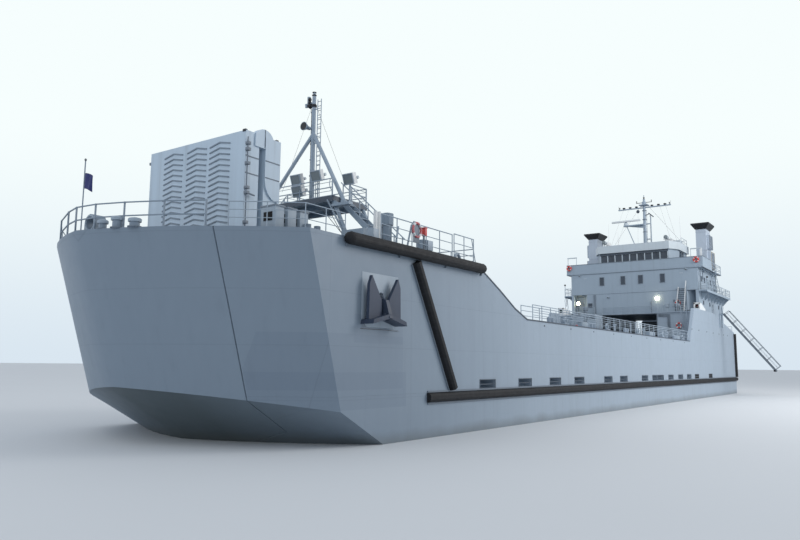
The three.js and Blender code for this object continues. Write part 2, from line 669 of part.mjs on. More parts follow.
function buildStack(side) {
  const { x0, x1, y0, y1, top } = STACK;
  const casing = sideBox(side, x0, x1, y0, y1, BRIDGE.deck + GAP, top);
  const plinth = sideBox(side, x0 - 10, x1 + 10, y0 - 10, y1 + 10, BRIDGE.deck + GAP, BRIDGE.deck + 30);
  const grilles = LOUVRES.map(({ aft, fore, z0, z1, out }) =>
    sideBox(side, x0 + aft, x1 - fore, y1 - 2, y1 + out, z0, z1));
  return join(casing, plinth, ...grilles);
}

// A four-sided frustum that widens upwards, open at the top
function buildStackCap(side) {
  const { x0, x1, y0, y1, top } = STACK;
  const { rise, foot, flare, wall, hollow } = STACK_CAP;
  const middle = [(x0 + x1) / 2, (side * (y0 + y1)) / 2];
  const ring = (grow, z) => {
    const halfX = (x1 - x0) / 2 + grow;
    const halfY = (y1 - y0) / 2 + grow;
    const corners = [[-1, -1], [1, -1], [1, 1], [-1, 1]];
    return corners.map(([a, b]) => vec(middle[0] + a * halfX, middle[1] + b * halfY, z));
  };
  const z = top + GAP;
  const outer = solid(loft([ring(foot, z), ring(flare, z + rise - 16), ring(flare, z + rise)]));
  return cut(outer, loft([ring(foot, z + rise - hollow), ring(flare - wall, z + rise + 5)]));
}

function buildMainMast() {
  const { x, foot, r, yard, yardHalf, top, whip } = MAIN_MAST;
  const arm = vec(x + 40, RADAR.y, RADAR.z - 62);
  const pole = AFT_POLE;
  return cut(
    join(
      rod(vec(x, 0, foot + GAP), vec(x, 0, top), r, 12, r * 0.6),
      box(x - 12, x + 12, -yardHalf, yardHalf, yard - 7, yard + 7),
      rod(vec(x, 0, top - 20), vec(x, 0, whip), 6, 6),
      box(x - 60, x + 60, -60, 60, yard + 30, yard + 40),
      rod(vec(x, 0, yard + 40), vec(x, 0, yard + 84), 30, 10),
      box(x + 10, x + 70, RADAR.y - 30, 5, RADAR.z - 78, RADAR.z - 62),
      prismX([[RADAR.y - 20, RADAR.z - 70], [0, RADAR.z - 70], [0, RADAR.z - 120]], x + 30, x + 42),
      rod(vec(x + 40, RADAR.y + 10, RADAR.z - 72), vec(x + 40, -110, foot + 5), 6, 6),
      box(x + 15, x + 65, -130, -90, foot + GAP, foot + 12),
      box(x, x + 40, -110, 0, foot + GAP, foot + 12),
      rod(arm.clone(), vec(arm.x, arm.y, RADAR.z - 22), 26, 12),
      rod(vec(pole.x, pole.y, foot + GAP), vec(pole.x, pole.y, pole.top), pole.r, 8),
      box(pole.x - 5, x + 5, 0, pole.y, pole.top - 106, pole.top - 96),
      box(pole.x - 5, x + 5, 0, pole.y, foot + 150, foot + 160),
    ),
    rod(vec(arm.x, arm.y, RADAR.z - 50), vec(arm.x, arm.y, RADAR.z), RADAR.spindle + 0.5, 12),
  );
}

function buildRadar() {
  const x = MAIN_MAST.x + 40;
  return join(
    rod(vec(x, RADAR.y, RADAR.z - 49.7), vec(x, RADAR.y, RADAR.z), RADAR.spindle, 12),
    box(x - 12, x + 12, RADAR.y - RADAR.length / 2, RADAR.y + RADAR.length / 2, RADAR.z - 10, RADAR.z + 14),
  );
}

// Pole with two legs, a ladder on its port side, the lamp bracket and the horn
function buildForeMast() {
  const { x, r, top, fork, legR, footX, footY } = FORE_MAST;
  const { y0, y1, rung, bar } = MAST_LADDER;
  const foot = PLATFORM.top + GAP;
  const padTop = PLATFORM.top - 52;
  const parts = [rod(vec(x, 0, foot), vec(x, 0, top), r, 10, r * 0.8)];
  for (const { side } of SIDES) {
    parts.push(rod(vec(x, side * 4, fork), vec(footX, side * footY, padTop + 8), legR, 8));
    parts.push(sideBox(side, footX - 14, footX + 14, footY - 14, footY + 14, padTop + GAP, padTop + 12));
  }
  for (const y of [y0, y1]) {
    parts.push(box(x - bar / 2, x + bar / 2, y - bar / 2, y + bar / 2, foot, MAST_LADDER.top));
  }
  for (let z = foot + rung; z < MAST_LADDER.top; z += rung) {
    parts.push(box(x - 1.5, x + 1.5, y0, y1, z - 1.5, z + 1.5));
  }
  for (const z of [foot + 115, fork - 60, MAST_LADDER.top - 60]) {
    parts.push(box(x - 3, x + 3, 0, y0, z - 3, z + 3));
  }
  parts.push(
    rod(vec(x, 0, top - 4), vec(x, 0, top + 26), 9, 10),
    box(x - 7, x + 7, -72, 0, top - 44, top - 38),
    rod(vec(x, -44, top - 40), vec(x, -44, top + 4), 11, 10),
    rod(vec(x, -64, top - 60), vec(x, -64, top - 38), 9, 10),
    box(x - 4, x + 12, HORN.y, 0, HORN.z - 14, HORN.z - 6),
    rod(vec(x, HORN.y, HORN.z), vec(x + HORN.length, HORN.y, HORN.z), HORN.throat, 12, HORN.r),
  );
  return join(...parts);
}

// A square lamp head on a post, tipped forward
function floodlight({ x, y, foot, z, size }) {
  const head = new THREE.BoxGeometry(30, size, size * 0.86);
  head.rotateY(0.35);
  head.translate(x, y, z);
  return [head, rod(vec(x - 6, y, foot), vec(x - 6, y, z), 4, 6)];
}

// Deck plate in a frame of beams, legs to the forecastle, outriggers for the mast, rail and lamps
function buildPlatform() {
  const { x0, x1, half, top, thick, plate, legX, legFoot } = PLATFORM;
  const { footX, footY } = FORE_MAST;
  const parts = [box(x0, x1, -half, half, top - plate, top)];
  for (const x of [x0, x1 - 12, (x0 + x1) / 2]) {
    parts.push(box(x, x + 12, -half, half, top - thick, top - plate + 1));
  }
  for (const { side } of SIDES) {
    parts.push(sideBox(side, x0, x1, half - 12, half, top - thick, top - plate + 1));
    for (const x of legX) {
      const head = vec(x, side * (half - 12), top - thick + 4);
      const [y0, y1] = [legFoot - 22, legFoot + 22];
      parts.push(rod(head, vec(x, side * legFoot, FORE_DECK + 8), 12, 8));
      parts.push(sideBox(side, x - 22, x + 22, y0, y1, FORE_DECK + GAP, FORE_DECK + 14));
    }
    parts.push(sideBox(side, footX - 18, footX + 18, half - 8, footY + 50, top - 68, top - 52));
    const web = [[half - 12, top - 60], [footY - 20, top - 60], [half - 12, top - 20]];
    parts.push(sidePrismX(side, web, footX - 5, footX + 5));
  }
  const edge = half - 5;
  for (const { side } of SIDES) {
    parts.push(railPath([[STAIRS.x0 - 4, side * edge], [x0 + 5, side * edge], [x0 + 5, 0]], top - 2));
    parts.push(railPath([[x1 - 5, side * edge], [x1 - 5, 0]], top - 2));
  }
  parts.push(...FLOODLIGHTS.flatMap(floodlight));
  return join(...parts);
}

// Stairs from the platform's side down to the forecastle deck
function buildStairs(side) {
  const { x0, x1, foot, treads, rail } = STAIRS;
  const y0 = PLATFORM.half + GAP;
  const z0 = PLATFORM.top;
  const z1 = FORE_DECK + GAP;
  const parts = [];
  for (const x of [x0, x1 - 5]) {
    const line = (drop) => [[y0, z0 - drop], [foot, z1 + 40 - drop]];
    const stringer = [[y0, z0 - 4], [foot, z1 + 34], [foot, z1], [foot - 22, z1], [y0, z0 - 40]];
    parts.push(prismX(stringer.map(([y, z]) => [side * y, z]), x, x + 5));
    const [[ya, za], [yb, zb]] = line(-rail);
    const bar = [[ya, za], [yb, zb], [yb, zb - 7], [ya, za - 7]];
    parts.push(prismX(bar.map(([y, z]) => [side * y, z]), x, x + 5));
    for (const share of [0.04, 0.35, 0.65, 0.96]) {
      const y = y0 + (foot - y0) * share;
      const z = z0 + (z1 + 40 - z0) * share;
      parts.push(sideBox(side, x, x + 5, y - 2.5, y + 2.5, z - 16, z + rail - 2));
    }
  }
  for (let i = 0; i < treads; i += 1) {
    const share = (i + 0.6) / treads;
    const y = y0 + (foot - y0) * share;
    const z = z0 + (z1 + 40 - z0) * share - 18;
    parts.push(sideBox(side, x0 + 2, x1 - 2, y - 12, y + 12, z - 2, z + 2));
  }
  return join(...parts);
}

// Windlass: bed, two drums on one axle between side frames, and a gearbox
function buildWindlass(side) {
  const { x0, x1, y0, y1, bed, drum, axle } = WINDLASS;
  const foot = FORE_DECK + GAP;
  const x = (x0 + x1) / 2 - 30;
  const z = foot + axle;
  const parts = [sideBox(side, x0, x1, y0, y1, foot, foot + bed)];
  const rings = [
    { from: y0 - 16, to: y0 + 30, r: drum - 14 },
    { from: y0 + 44, to: y0 + 96, r: drum - 10 },
    { from: y0 + 40, to: y0 + 48, r: drum + 12 },
    { from: y0 + 92, to: y0 + 100, r: drum + 12 },
    { from: y0 - 20, to: y1 - 20, r: 9 },
  ];
  for (const { from, to, r } of rings) {
    parts.push(rod(vec(x, side * from, z), vec(x, side * to, z), r, 12));
  }
  for (const y of [y0 + 32, y0 + 106]) {
    const frame = [[x - 60, foot + 5], [x + 60, foot + 5], [x + 18, z + 22], [x - 18, z + 22]];
    parts.push(sidePrismY(side, frame, y, y + 8));
  }
  parts.push(sideBox(side, x - 52, x + 52, y0 + 120, y1 - 8, foot + 5, z + 44));
  parts.push(sideBox(side, x1 - 70, x1 - 12, y0 + 20, y1 - 30, foot + 5, foot + 112));
  return join(...parts);
}

function buildRamp() {
  const { x0, x1, half, foot, top, hinges } = RAMP;
  const middle = (x0 + x1) / 2;
  const feet = hinges.map((y) => join(
    rod(vec(middle, y - 30, foot), vec(middle, y + 30, foot), foot - DECK - GAP, 12),
    box(x0 + 20, x1 - 20, y - 26, y + 26, DECK + GAP, foot + 5),
  ));
  const parts = [box(x0, x1, -half, half, foot, top), ...feet];
  const { thick, inner } = CHEEK;
  const sweep = [];
  for (let i = 0; i <= CHEEK.steps; i += 1) {
    const angle = (i * Math.PI) / (2 * CHEEK.steps);
    const reach = x0 + 12 + (x1 - x0 - 12) * Math.sin(angle);
    sweep.push([reach, CHEEK.foot + (inner - CHEEK.foot) * (1 - Math.cos(angle))]);
  }
  const cheek = [[x0 - 4, top], [x0 - 4, CHEEK.foot], ...sweep, [x1, top]];
  for (const { side } of SIDES) {
    parts.push(sidePrismY(side, cheek, half - 2, half + thick));
    parts.push(sideBox(side, x0 - 4, x0 + 10, half - 2, half + thick, CHEEK.low, CHEEK.foot + 5));
    parts.push(keep(foldLug(side), box(x0, x1, -half - 20, half + 20, top - 200, top + 60)));
  }
  return join(...parts);
}

// Round-topped lug at the fold, half on either section
function foldLug(side) {
  const { x, z, rx, rz, drop, y0, y1 } = KNUCKLE;
  const outline = [[x - rx, z - drop], [x + rx, z - drop]];
  for (let i = 0; i <= 10; i += 1) {
    const angle = (i * Math.PI) / 10;
    outline.push([x + rx * Math.cos(angle), z + rz * Math.sin(angle)]);
  }
  return solid(sidePrismY(side, outline, y0, y1));
}

// Outer section of the bow ramp
function buildFlap() {
  const { x0, x1, half, foot, top } = FLAP;
  const parts = [box(x0, x1, -half, half, foot, top)];
  for (const { side } of SIDES) {
    parts.push(keep(foldLug(side), box(RAMP.x1 + GAP, x1, -half - 20, half + 20, top - 200, top + 60)));
  }
  parts.push(...[-250, 250].map((y) => box(RAMP.x1 + GAP, x0 + 5, y - 25, y + 25, top - 120, top - 20)));
  return join(...parts);
}

// Rubber section against the side, as an outline with a flat back
function rubberSection(half, out) {
  const base = HALF_BEAM + GAP;
  return [[base, -half], [base + out * 0.7, -half * 0.85], [base + out, -half * 0.4],
    [base + out, half * 0.4], [base + out * 0.7, half * 0.85], [base, half]];
}

// Round tube along the sheer, with domed ends and a flat where it bears on the side
function buildUpperFender(side) {
  const { aft, fore, z, r } = UPPER_FENDER;
  const y = HALF_BEAM + r * 0.8;
  const tube = rod(vec(aft + r, y, z), vec(fore - r, y, z), r, 10);
  const ends = [aft + r, fore - r].map((x) => {
    const dome = new THREE.SphereGeometry(r, 10, 6);
    dome.rotateZ(Math.PI / 2);
    return dome.translate(x, y, z);
  });
  const outboard = box(aft - 5, fore + 5, HALF_BEAM + GAP, y + r + 5, z - r - 5, z + r + 5);
  const fender = keep(join(tube, ...ends), outboard);
  return side > 0 ? fender : fender.mirror([0, 1, 0]);
}

// The same section along a line in X and Z
function buildRubbing(side, from, to, half, out) {
  const along = vec(to[0] - from[0], 0, to[1] - from[1]);
  const bar = prismX(rubberSection(half, out).map(([y, h]) => [side * y, h]), 0, along.length());
  bar.rotateY(-Math.atan2(along.z, along.x));
  return bar.translate(from[0], 0, from[1]);
}

// Rail along a line in plan: square posts, with thinner bars that end inside them
function railPath(points, foot, height = RAIL_HEIGHT, bay = RAIL_BAY) {
  const [half, thin] = [RAIL_POST / 2, RAIL_BAR / 2];
  const parts = [];
  points.slice(1).forEach(([x1, y1], i) => {
    const [x0, y0] = points[i];
    const length = Math.hypot(x1 - x0, y1 - y0);
    const bays = Math.max(1, Math.round(length / bay));
    for (let k = i === 0 ? 0 : 1; k <= bays; k += 1) {
      const [x, y] = [x0 + ((x1 - x0) * k) / bays, y0 + ((y1 - y0) * k) / bays];
      parts.push(box(x - half, x + half, y - half, y + half, foot, foot + height));
    }
    for (const level of RAIL_LEVELS) {
      const z = foot + height * level - half;
      const bar = box(0, length, -thin, thin, z - thin, z + thin);
      bar.rotateZ(Math.atan2(y1 - y0, x1 - x0));
      parts.push(bar.translate(x0, y0, 0));
    }
  });
  return join(...parts);
}

// Stockless anchor with its flukes up, a roof-shaped crown and the shank that comes out of the side
function buildAnchor(side) {
  const { x, half, foot, top, stand, plate } = ANCHOR;
  const base = HALF_BEAM + GAP;
  const y0 = base + stand;
  const fluke = [[half - 8, foot + 16], [half - 12, top - 42], [half - 30, top], [30, foot + 112],
    [26, foot + 16]];
  const crown = [[-half, foot - 6], [0, foot + 24], [half, foot - 6], [half - 6, foot + 14], [0, foot + 46],
    [-half + 6, foot + 14]];
  const shank = [[base, foot + 128], [base, foot + 84], [y0 + 34, foot + 22], [y0 + 52, foot + 26],
    [y0 + 26, foot + 110]];
  const parts = [
    prismY(fluke.map(([a, b]) => [x + a, b]), y0, y0 + plate),
    prismY(fluke.map(([a, b]) => [x - a, b]).reverse(), y0, y0 + plate),
    prismY(crown.map(([a, b]) => [x + a, b]), base, y0 + 48),
    prismX(shank, x - 12, x + 12),
  ];
  const anchor = join(...parts);
  return side > 0 ? anchor : anchor.mirror([0, 1, 0]);
}

function buildRudder(side) {
  const { x, fore, aft, z0, z1, stock, half } = RUDDER;
  const foil = [[fore, -3], [fore, 3], [x + 10, half], [aft, 3], [aft, -3], [x + 10, -half]].reverse();
  return join(
    prismZ(foil, z0, z1),
    rod(vec(x, 0, z1 - 5), vec(x, 0, 300), stock, 12),
  ).translate([0, side * TUNNEL.y, 0]);
}

// Ladder, modelled level along +Y from its hinge at the origin
function buildLadder() {
  const { length, width, treads } = LADDER;
  const parts = [];
  for (const x of [-width / 2, width / 2]) {
    parts.push(box(x - 4, x + 4, 0, length, -8, 10));
    parts.push(box(x - 3, x + 3, 20, length - 20, 78, 84));
    for (let i = 0; i < 7; i += 1) {
      const y = 22 + (i * (length - 44)) / 6;
      parts.push(box(x - 2.5, x + 2.5, y - 2.5, y + 2.5, 5, 80));
    }
  }
  for (let i = 0; i < treads; i += 1) {
    const y = 30 + (i * (length - 60)) / (treads - 1);
    parts.push(box(-width / 2, width / 2, y - 7, y + 7, -3, 1));
  }
  const bore = rod(vec(-width, 10, 0), vec(width, 10, 0), 4 + PIN_FIT, 10);
  const ladder = cut(join(...parts), bore);
  return ladder.rotate([LADDER.angle, 0, 0]).translate([LADDER.x, LADDER.y - 10, LADDER.z]);
}

function buildLadderPlatform() {
  const { x, y, z, width } = LADDER;
  const half = width / 2 + 6;
  const hinge = vec(x, y - 10, z);
  const slope = (LADDER.angle * Math.PI) / 180;
  const pinAt = hinge.clone().add(vec(0, 10 * Math.cos(slope), 10 * Math.sin(slope)));
  return join(
    box(x - 75, x + 75, HALF_BEAM + GAP, y - 28, z - 20, z - 8),
    box(x - 75, x - 65, HALF_BEAM + GAP, HALF_BEAM + 12, 1100, z - 10),
    box(x + 65, x + 75, HALF_BEAM + GAP, HALF_BEAM + 12, 1100, z - 10),
    box(x - half - 8, x - half, HALF_BEAM + GAP, pinAt.y + 8, pinAt.z - 10, z - 4),
    box(x + half, x + half + 8, HALF_BEAM + GAP, pinAt.y + 8, pinAt.z - 10, z - 4),
    rod(vec(x - half - 4, pinAt.y, pinAt.z), vec(x + half + 4, pinAt.y, pinAt.z), 3.6, 8),
  );
}

function build() {
  add('hull_body', buildHull(), paint(HULL_GREY));
  add('bow_visor', buildVisor(), paint(HULL_GREY));
  add('bow_ramp', buildRamp(), paint(DECK_GREY));
  add('bow_ramp_flap', buildFlap(), paint(HOUSE_GREY));
  add('stern_ramp', buildSternRamp(), paint(HOUSE_GREY));
  for (const { name, side } of SIDES) {
    add(`forecastle_${name}`, buildForecastle(side), paint(HULL_GREY));
    add(`side_wall_${name}`, buildWall(side), paint(HULL_GREY));
    add(`stern_casing_${name}`, buildSternCasing(side), paint(HULL_GREY));
    add(`stack_${name}`, buildStack(side), paint(HOUSE_GREY));
    add(`stack_cap_${name}`, buildStackCap(side), paint(BLACK));
    add(`propeller_${name}`, propeller(side), paint(BRONZE, 0.35, 0.9));
    add(`rudder_${name}`, buildRudder(side), paint(HULL_GREY));
    add(`upper_fender_${name}`, buildUpperFender(side), paint(RUBBER, 0.9, 0));
    for (const { label, from, to, half, out } of RUBBINGS) {
      add(`${label}_${name}`, buildRubbing(side, from, to, half, out), paint(RUBBER, 0.9, 0));
    }
    add(`anchor_${name}`, buildAnchor(side), paint(BLACK));
    const railY = side * (HALF_BEAM - 12);
    add(`wall_rail_${name}`, railPath([[2700, railY], [6860, railY]], WALL_TOP + GAP), paint(HOUSE_GREY));
    add(`forecastle_rail_${name}`, railPath([[7690, railY], [8570, railY]], FORE_DECK + GAP,
      FORE_RAIL_HEIGHT), paint(HOUSE_GREY));
    add(`walkway_${name}`, buildWalkway(side), paint(HOUSE_GREY));
    add(`mast_stairs_${name}`, buildStairs(side), paint(HOUSE_GREY));
    add(`windlass_${name}`, buildWindlass(side), paint(HOUSE_GREY));
  }
  add('jack_flag', buildJack(), paint(FLAG_BLUE, 0.9, 0));
  add('deckhouse', buildHouse(), paint(HOUSE_GREY));
  add('bridge_deck', buildBridge(), paint(HOUSE_GREY));
  add('wheelhouse', buildWheelhouse(), paint(HOUSE_GREY));
  add('wheelhouse_roof', buildRoof(), paint(WHITE));
  add('main_mast', buildMainMast(), paint(HOUSE_GREY));
  add('radar_scanner', buildRadar(), paint(WHITE));
  add('fore_mast', buildForeMast(), paint(HOUSE_GREY));
  add('fore_platform', buildPlatform(), paint(HOUSE_GREY));
  add('accommodation_ladder', buildLadder(), paint(WHITE));
  add('ladder_platform', buildLadderPlatform(), paint(HOUSE_GREY));
}

build();

const model = new THREE.Group();
model.name = 'model';
craft.position.x = -LENGTH / 2;
model.add(craft);
model.updateMatrixWorld(true);

export default model;
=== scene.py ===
# Looks of the landing craft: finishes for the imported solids, and the small gear around them.
# Shapes are given in millimetres, with X from the transom forward, Y to port and Z up from the
# flat bottom. Piece.done() turns them into metres in the part's frame.
import math

import bmesh
import bpy
from mathutils import Matrix, Vector


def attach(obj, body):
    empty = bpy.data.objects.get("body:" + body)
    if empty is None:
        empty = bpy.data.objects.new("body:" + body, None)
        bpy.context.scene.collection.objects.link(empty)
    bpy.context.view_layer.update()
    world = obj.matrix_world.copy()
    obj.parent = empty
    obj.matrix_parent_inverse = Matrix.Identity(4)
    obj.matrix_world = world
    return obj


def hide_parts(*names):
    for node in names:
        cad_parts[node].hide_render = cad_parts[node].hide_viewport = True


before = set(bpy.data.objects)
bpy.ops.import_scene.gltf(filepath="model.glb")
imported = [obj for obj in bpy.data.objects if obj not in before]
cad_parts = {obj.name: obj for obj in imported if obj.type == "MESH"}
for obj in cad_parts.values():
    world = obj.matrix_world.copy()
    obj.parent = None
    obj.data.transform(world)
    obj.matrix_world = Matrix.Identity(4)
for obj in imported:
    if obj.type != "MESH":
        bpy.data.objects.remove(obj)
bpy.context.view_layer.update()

MM = 0.001
MIDSHIP = 4785
TO_FRAME = Matrix.Scale(MM, 4) @ Matrix.Translation((-MIDSHIP, 0, 0))
SIDES = (("port", 1), ("starboard", -1))

# Levels and half widths that the pieces are set out from
WATERLINE = 205
CARGO_DECK = 430
WALL_TOP = 870
HALF_BEAM = 915
FORE_DECK = 1138
AFT_DECK = 1050
CASING_DECK = 1252
CASING_FRONT = 2064
HOUSE_FRONT = 1756
HOUSE_HALF = 839
BRIDGE_DECK = 1848
BULWARK_TOP = 1973
BRIDGE_HALF = 905
ROOF = 2222
PLATFORM = 1545
FLAP_FACE = 8954
STERN_RAMP_FACE = 73.5

X = Vector((1, 0, 0))
Y = Vector((0, 1, 0))
Z = Vector((0, 0, 1))


# Materials

def srgb(red, green, blue):
    """A colour given as a screen shows it, 0 to 255, as the linear values that shaders use."""
    def linear(value):
        share = value / 255
        return share / 12.92 if share <= 0.04045 else ((share + 0.055) / 1.055) ** 2.4
    return (linear(red), linear(green), linear(blue), 1.0)


def add_node(tree, kind, inputs=None, **settings):
    """A node with its settings and inputs; an input that is a socket of another node is linked."""
    made = tree.nodes.new(kind)
    for key, value in settings.items():
        setattr(made, key, value)
    for key, value in (inputs or {}).items():
        if isinstance(value, bpy.types.NodeSocket):
            tree.links.new(value, made.inputs[key])
        else:
            made.inputs[key].default_value = value
    return made


def mesh_data(name, shape):
    data = bpy.data.meshes.new(name)
    shape.to_mesh(data)
    shape.free()
    return data


def new_object(name, data):
    made = bpy.data.objects.new(name, data)
    bpy.context.scene.collection.objects.link(made)
    return made


class Finish:
    """A material whose nodes are added by short calls; sockets are passed from call to call."""

    def __init__(self, name, colour, **surface):
        self.data = bpy.data.materials.new(name)
        self.data.use_nodes = True
        self.tree = self.data.node_tree
        self.tree.nodes.clear()
        self.shader = self.tree.nodes.new("ShaderNodeBsdfPrincipled")
        output = self.tree.nodes.new("ShaderNodeOutputMaterial")
        self.tree.links.new(self.shader.outputs["BSDF"], output.inputs["Surface"])
        for socket, value in surface.items():
            self.shader.inputs[socket.replace("_", " ").title().replace("Ior", "IOR")].default_value = value
        coords = self.node("ShaderNodeTexCoord")
        self.place = coords.outputs["Object"]
        place = self.node("ShaderNodeSeparateXYZ", {0: self.place})
        self.x, self.y, self.z = place.outputs
        normal = self.node("ShaderNodeSeparateXYZ", {0: coords.outputs["Normal"]})
        self.facing_up = normal.outputs[2]
        self.colour = self.mix(0.0, colour, colour)
        self.height = None

    def node(self, kind, inputs=None, **settings):
        return add_node(self.tree, kind, inputs, **settings)

    def math(self, operation, *values, clamp=False):
        inputs = dict(enumerate(values))
        return self.node("ShaderNodeMath", inputs, operation=operation, use_clamp=clamp).outputs[0]

    def mix(self, share, first, second):
        return self.node("ShaderNodeMix", {0: share, 6: first, 7: second}, data_type="RGBA").outputs[2]

    def noise(self, scale, detail=3.0, stretch=(1, 1, 1), rough=0.5):
        place = self.node("ShaderNodeVectorMath", {0: self.place, 1: stretch}, operation="MULTIPLY")
        inputs = {"Vector": place.outputs[0], "Scale": scale, "Detail": detail, "Roughness": rough}
        return self.node("ShaderNodeTexNoise", inputs).outputs["Fac"]

    def product(self, first, *others):
        for other in others:
            first = self.math("MULTIPLY", first, other)
        return first

    def inside(self, value, low, high):
        """One where value lies between low and high, else nothing."""
        return self.product(self.math("GREATER_THAN", value, low), self.math("LESS_THAN", value, high))

    def ramp(self, value, low, high):
        """Nothing up to low, one from high on, and a straight slope between."""
        inputs = {"Value": value, "From Min": low, "From Max": high}
        return self.node("ShaderNodeMapRange", inputs).outputs[0]

    def tint(self, share, colour):
        self.colour = self.mix(share, self.colour, colour)

    def shade(self, value, amount):
        """Brightens or darkens by amount as value runs from nothing to one; a half leaves it as it is."""
        gain = self.math("MULTIPLY_ADD", value, 2 * amount, 1 - amount)
        inputs = {"Value": gain, "Color": self.colour}
        self.colour = self.node("ShaderNodeHueSaturation", inputs).outputs[0]

    def raise_by(self, value, amount):
        lift = self.product(value, amount)
        self.height = lift if self.height is None else self.math("ADD", self.height, lift)

    def roughen(self, value, low, high):
        inputs = {"Value": value, "To Min": low, "To Max": high}
        rough = self.node("ShaderNodeMapRange", inputs).outputs[0]
        self.tree.links.new(rough, self.shader.inputs["Roughness"])

    def done(self, distance=0.001):
        self.tree.links.new(self.colour, self.shader.inputs["Base Color"])
        if self.height is not None:
            bump = self.node("ShaderNodeBump", {"Height": self.height, "Strength": 0.6, "Distance": distance})
            self.tree.links.new(bump.outputs[0], self.shader.inputs["Normal"])
        return self.data


DECK_LEVELS = (CARGO_DECK, CARGO_DECK + 2, AFT_DECK, CASING_DECK, FORE_DECK, FORE_DECK + 3, BRIDGE_DECK, ROOF)
DECK_COLOUR = srgb(72, 78, 84)

# Patterns in the paint, in metres; a shift keeps what PINGPONG is given above nothing
SEAMS = {"x": 0.62, "z": 0.235, "width": 0.0016, "shift": 20.03}
DIMPLES = {"x": 0.062, "z": 0.078}
RIBS = {"pitch": 0.1, "width": 0.0016, "shift": 20}
THREADS = {"pitch": 0.0006, "gain": 1600, "shift": 2}
# How near in height, in metres, and how level a face is that gets deck paint
DECK_REACH = 0.0016
LEVEL_FACE = 0.6

# Places on the port side, outboard of PAINTED_SIDE, that were painted over later: X and Z ranges
PAINTED_SIDE = 0.6
REPAINTED = ((8385, 9130, 458, 705), (8388, 8765, 668, 795), (8356, 9300, 372, 536))
# The bow below its knuckle, which falls away outboard: height on the centre line, and its slopes
KNUCKLE = 0.461
KNUCKLE_SLOPE = 0.19 * 0.2
KNUCKLE_CURVE = 0.19 / 2.66
BOW_AFT = 3.2
SKIN = HALF_BEAM * MM - 0.0005
# Painted shade: the side and bow darken towards the bow, where less light falls, between these places in
# metres
SHADED_BOW = (2.1, 3.7)
# Painted shade and painted reflection of dark water under the bow, where it faces down: darkest here, and
# none this far from there
BOW_UNDER_SHADE = {"y": 0.15, "reach": 0.85, "core": 0.15}
# Walls of the lane aft, darkened with painted shade: half the lane's width, fore end and foot, in metres
SHADED_LANE_WALL = {"y": 0.404, "fore": -3.0, "foot": 0.45}
# Hoods of the sidelights, in metres
HOOD = {"x": (-3.026, -2.72), "y": (0.8445, 0.9125), "z": 1.2525}
# Soil above the waterline, from its top down to full, in metres
SOIL = (0.29, 0.235)


def weather(finish, blotch=0.035, streak=0.05, grain=0.02):
    """Uneven paint, run-down streaks and a fine grain."""
    finish.shade(finish.noise(1.1, 4), blotch)
    finish.shade(finish.noise(9, 5), blotch * 0.5)
    runs = finish.noise(1.0, 4, (26, 26, 1.3))
    finish.shade(finish.ramp(runs, 0.7, 0.3), streak * 0.5)
    finish.tint(finish.product(finish.ramp(runs, 0.6, 0.78), streak * 2), srgb(92, 88, 80))
    finish.shade(finish.noise(160, 2), grain)
    finish.raise_by(finish.noise(260, 2), 0.12)


def plating(finish):
    """Welded plate edges, and plating that is drawn in a little between its frames."""
    for value, pitch, depth in ((finish.x, SEAMS["x"], 0.05), (finish.z, SEAMS["z"], 0.045)):
        off = finish.math("PINGPONG", finish.math("ADD", value, SEAMS["shift"]), pitch / 2)
        line = finish.math("LESS_THAN", off, SEAMS["width"])
        finish.tint(finish.product(line, depth * 2.2), srgb(60, 66, 72))
        finish.raise_by(line, -0.25)
    frames = finish.math("SINE", finish.product(finish.x, 2 * math.pi / DIMPLES["x"]))
    rows = finish.math("SINE", finish.product(finish.z, 2 * math.pi / DIMPLES["z"]))
    finish.raise_by(finish.product(frames, rows), 0.12)
    finish.raise_by(finish.noise(5, 3), 1.6)


def decks(finish, levels=DECK_LEVELS):
    """Dark non-slip paint where a face looks up at one of the decks' heights."""
    found = 0.0
    for level in levels:
        found = finish.math("ADD", found, finish.math("COMPARE", finish.z, level * MM, DECK_REACH))
    up = finish.math("GREATER_THAN", finish.facing_up, LEVEL_FACE)
    here = finish.math("MULTIPLY", up, found, clamp=True)
    worn = finish.mix(finish.ramp(finish.noise(2.2, 6), 0.42, 0.62), DECK_COLOUR, srgb(92, 97, 101))
    finish.tint(here, worn)
    finish.raise_by(finish.product(here, finish.noise(420, 2)), 0.5)


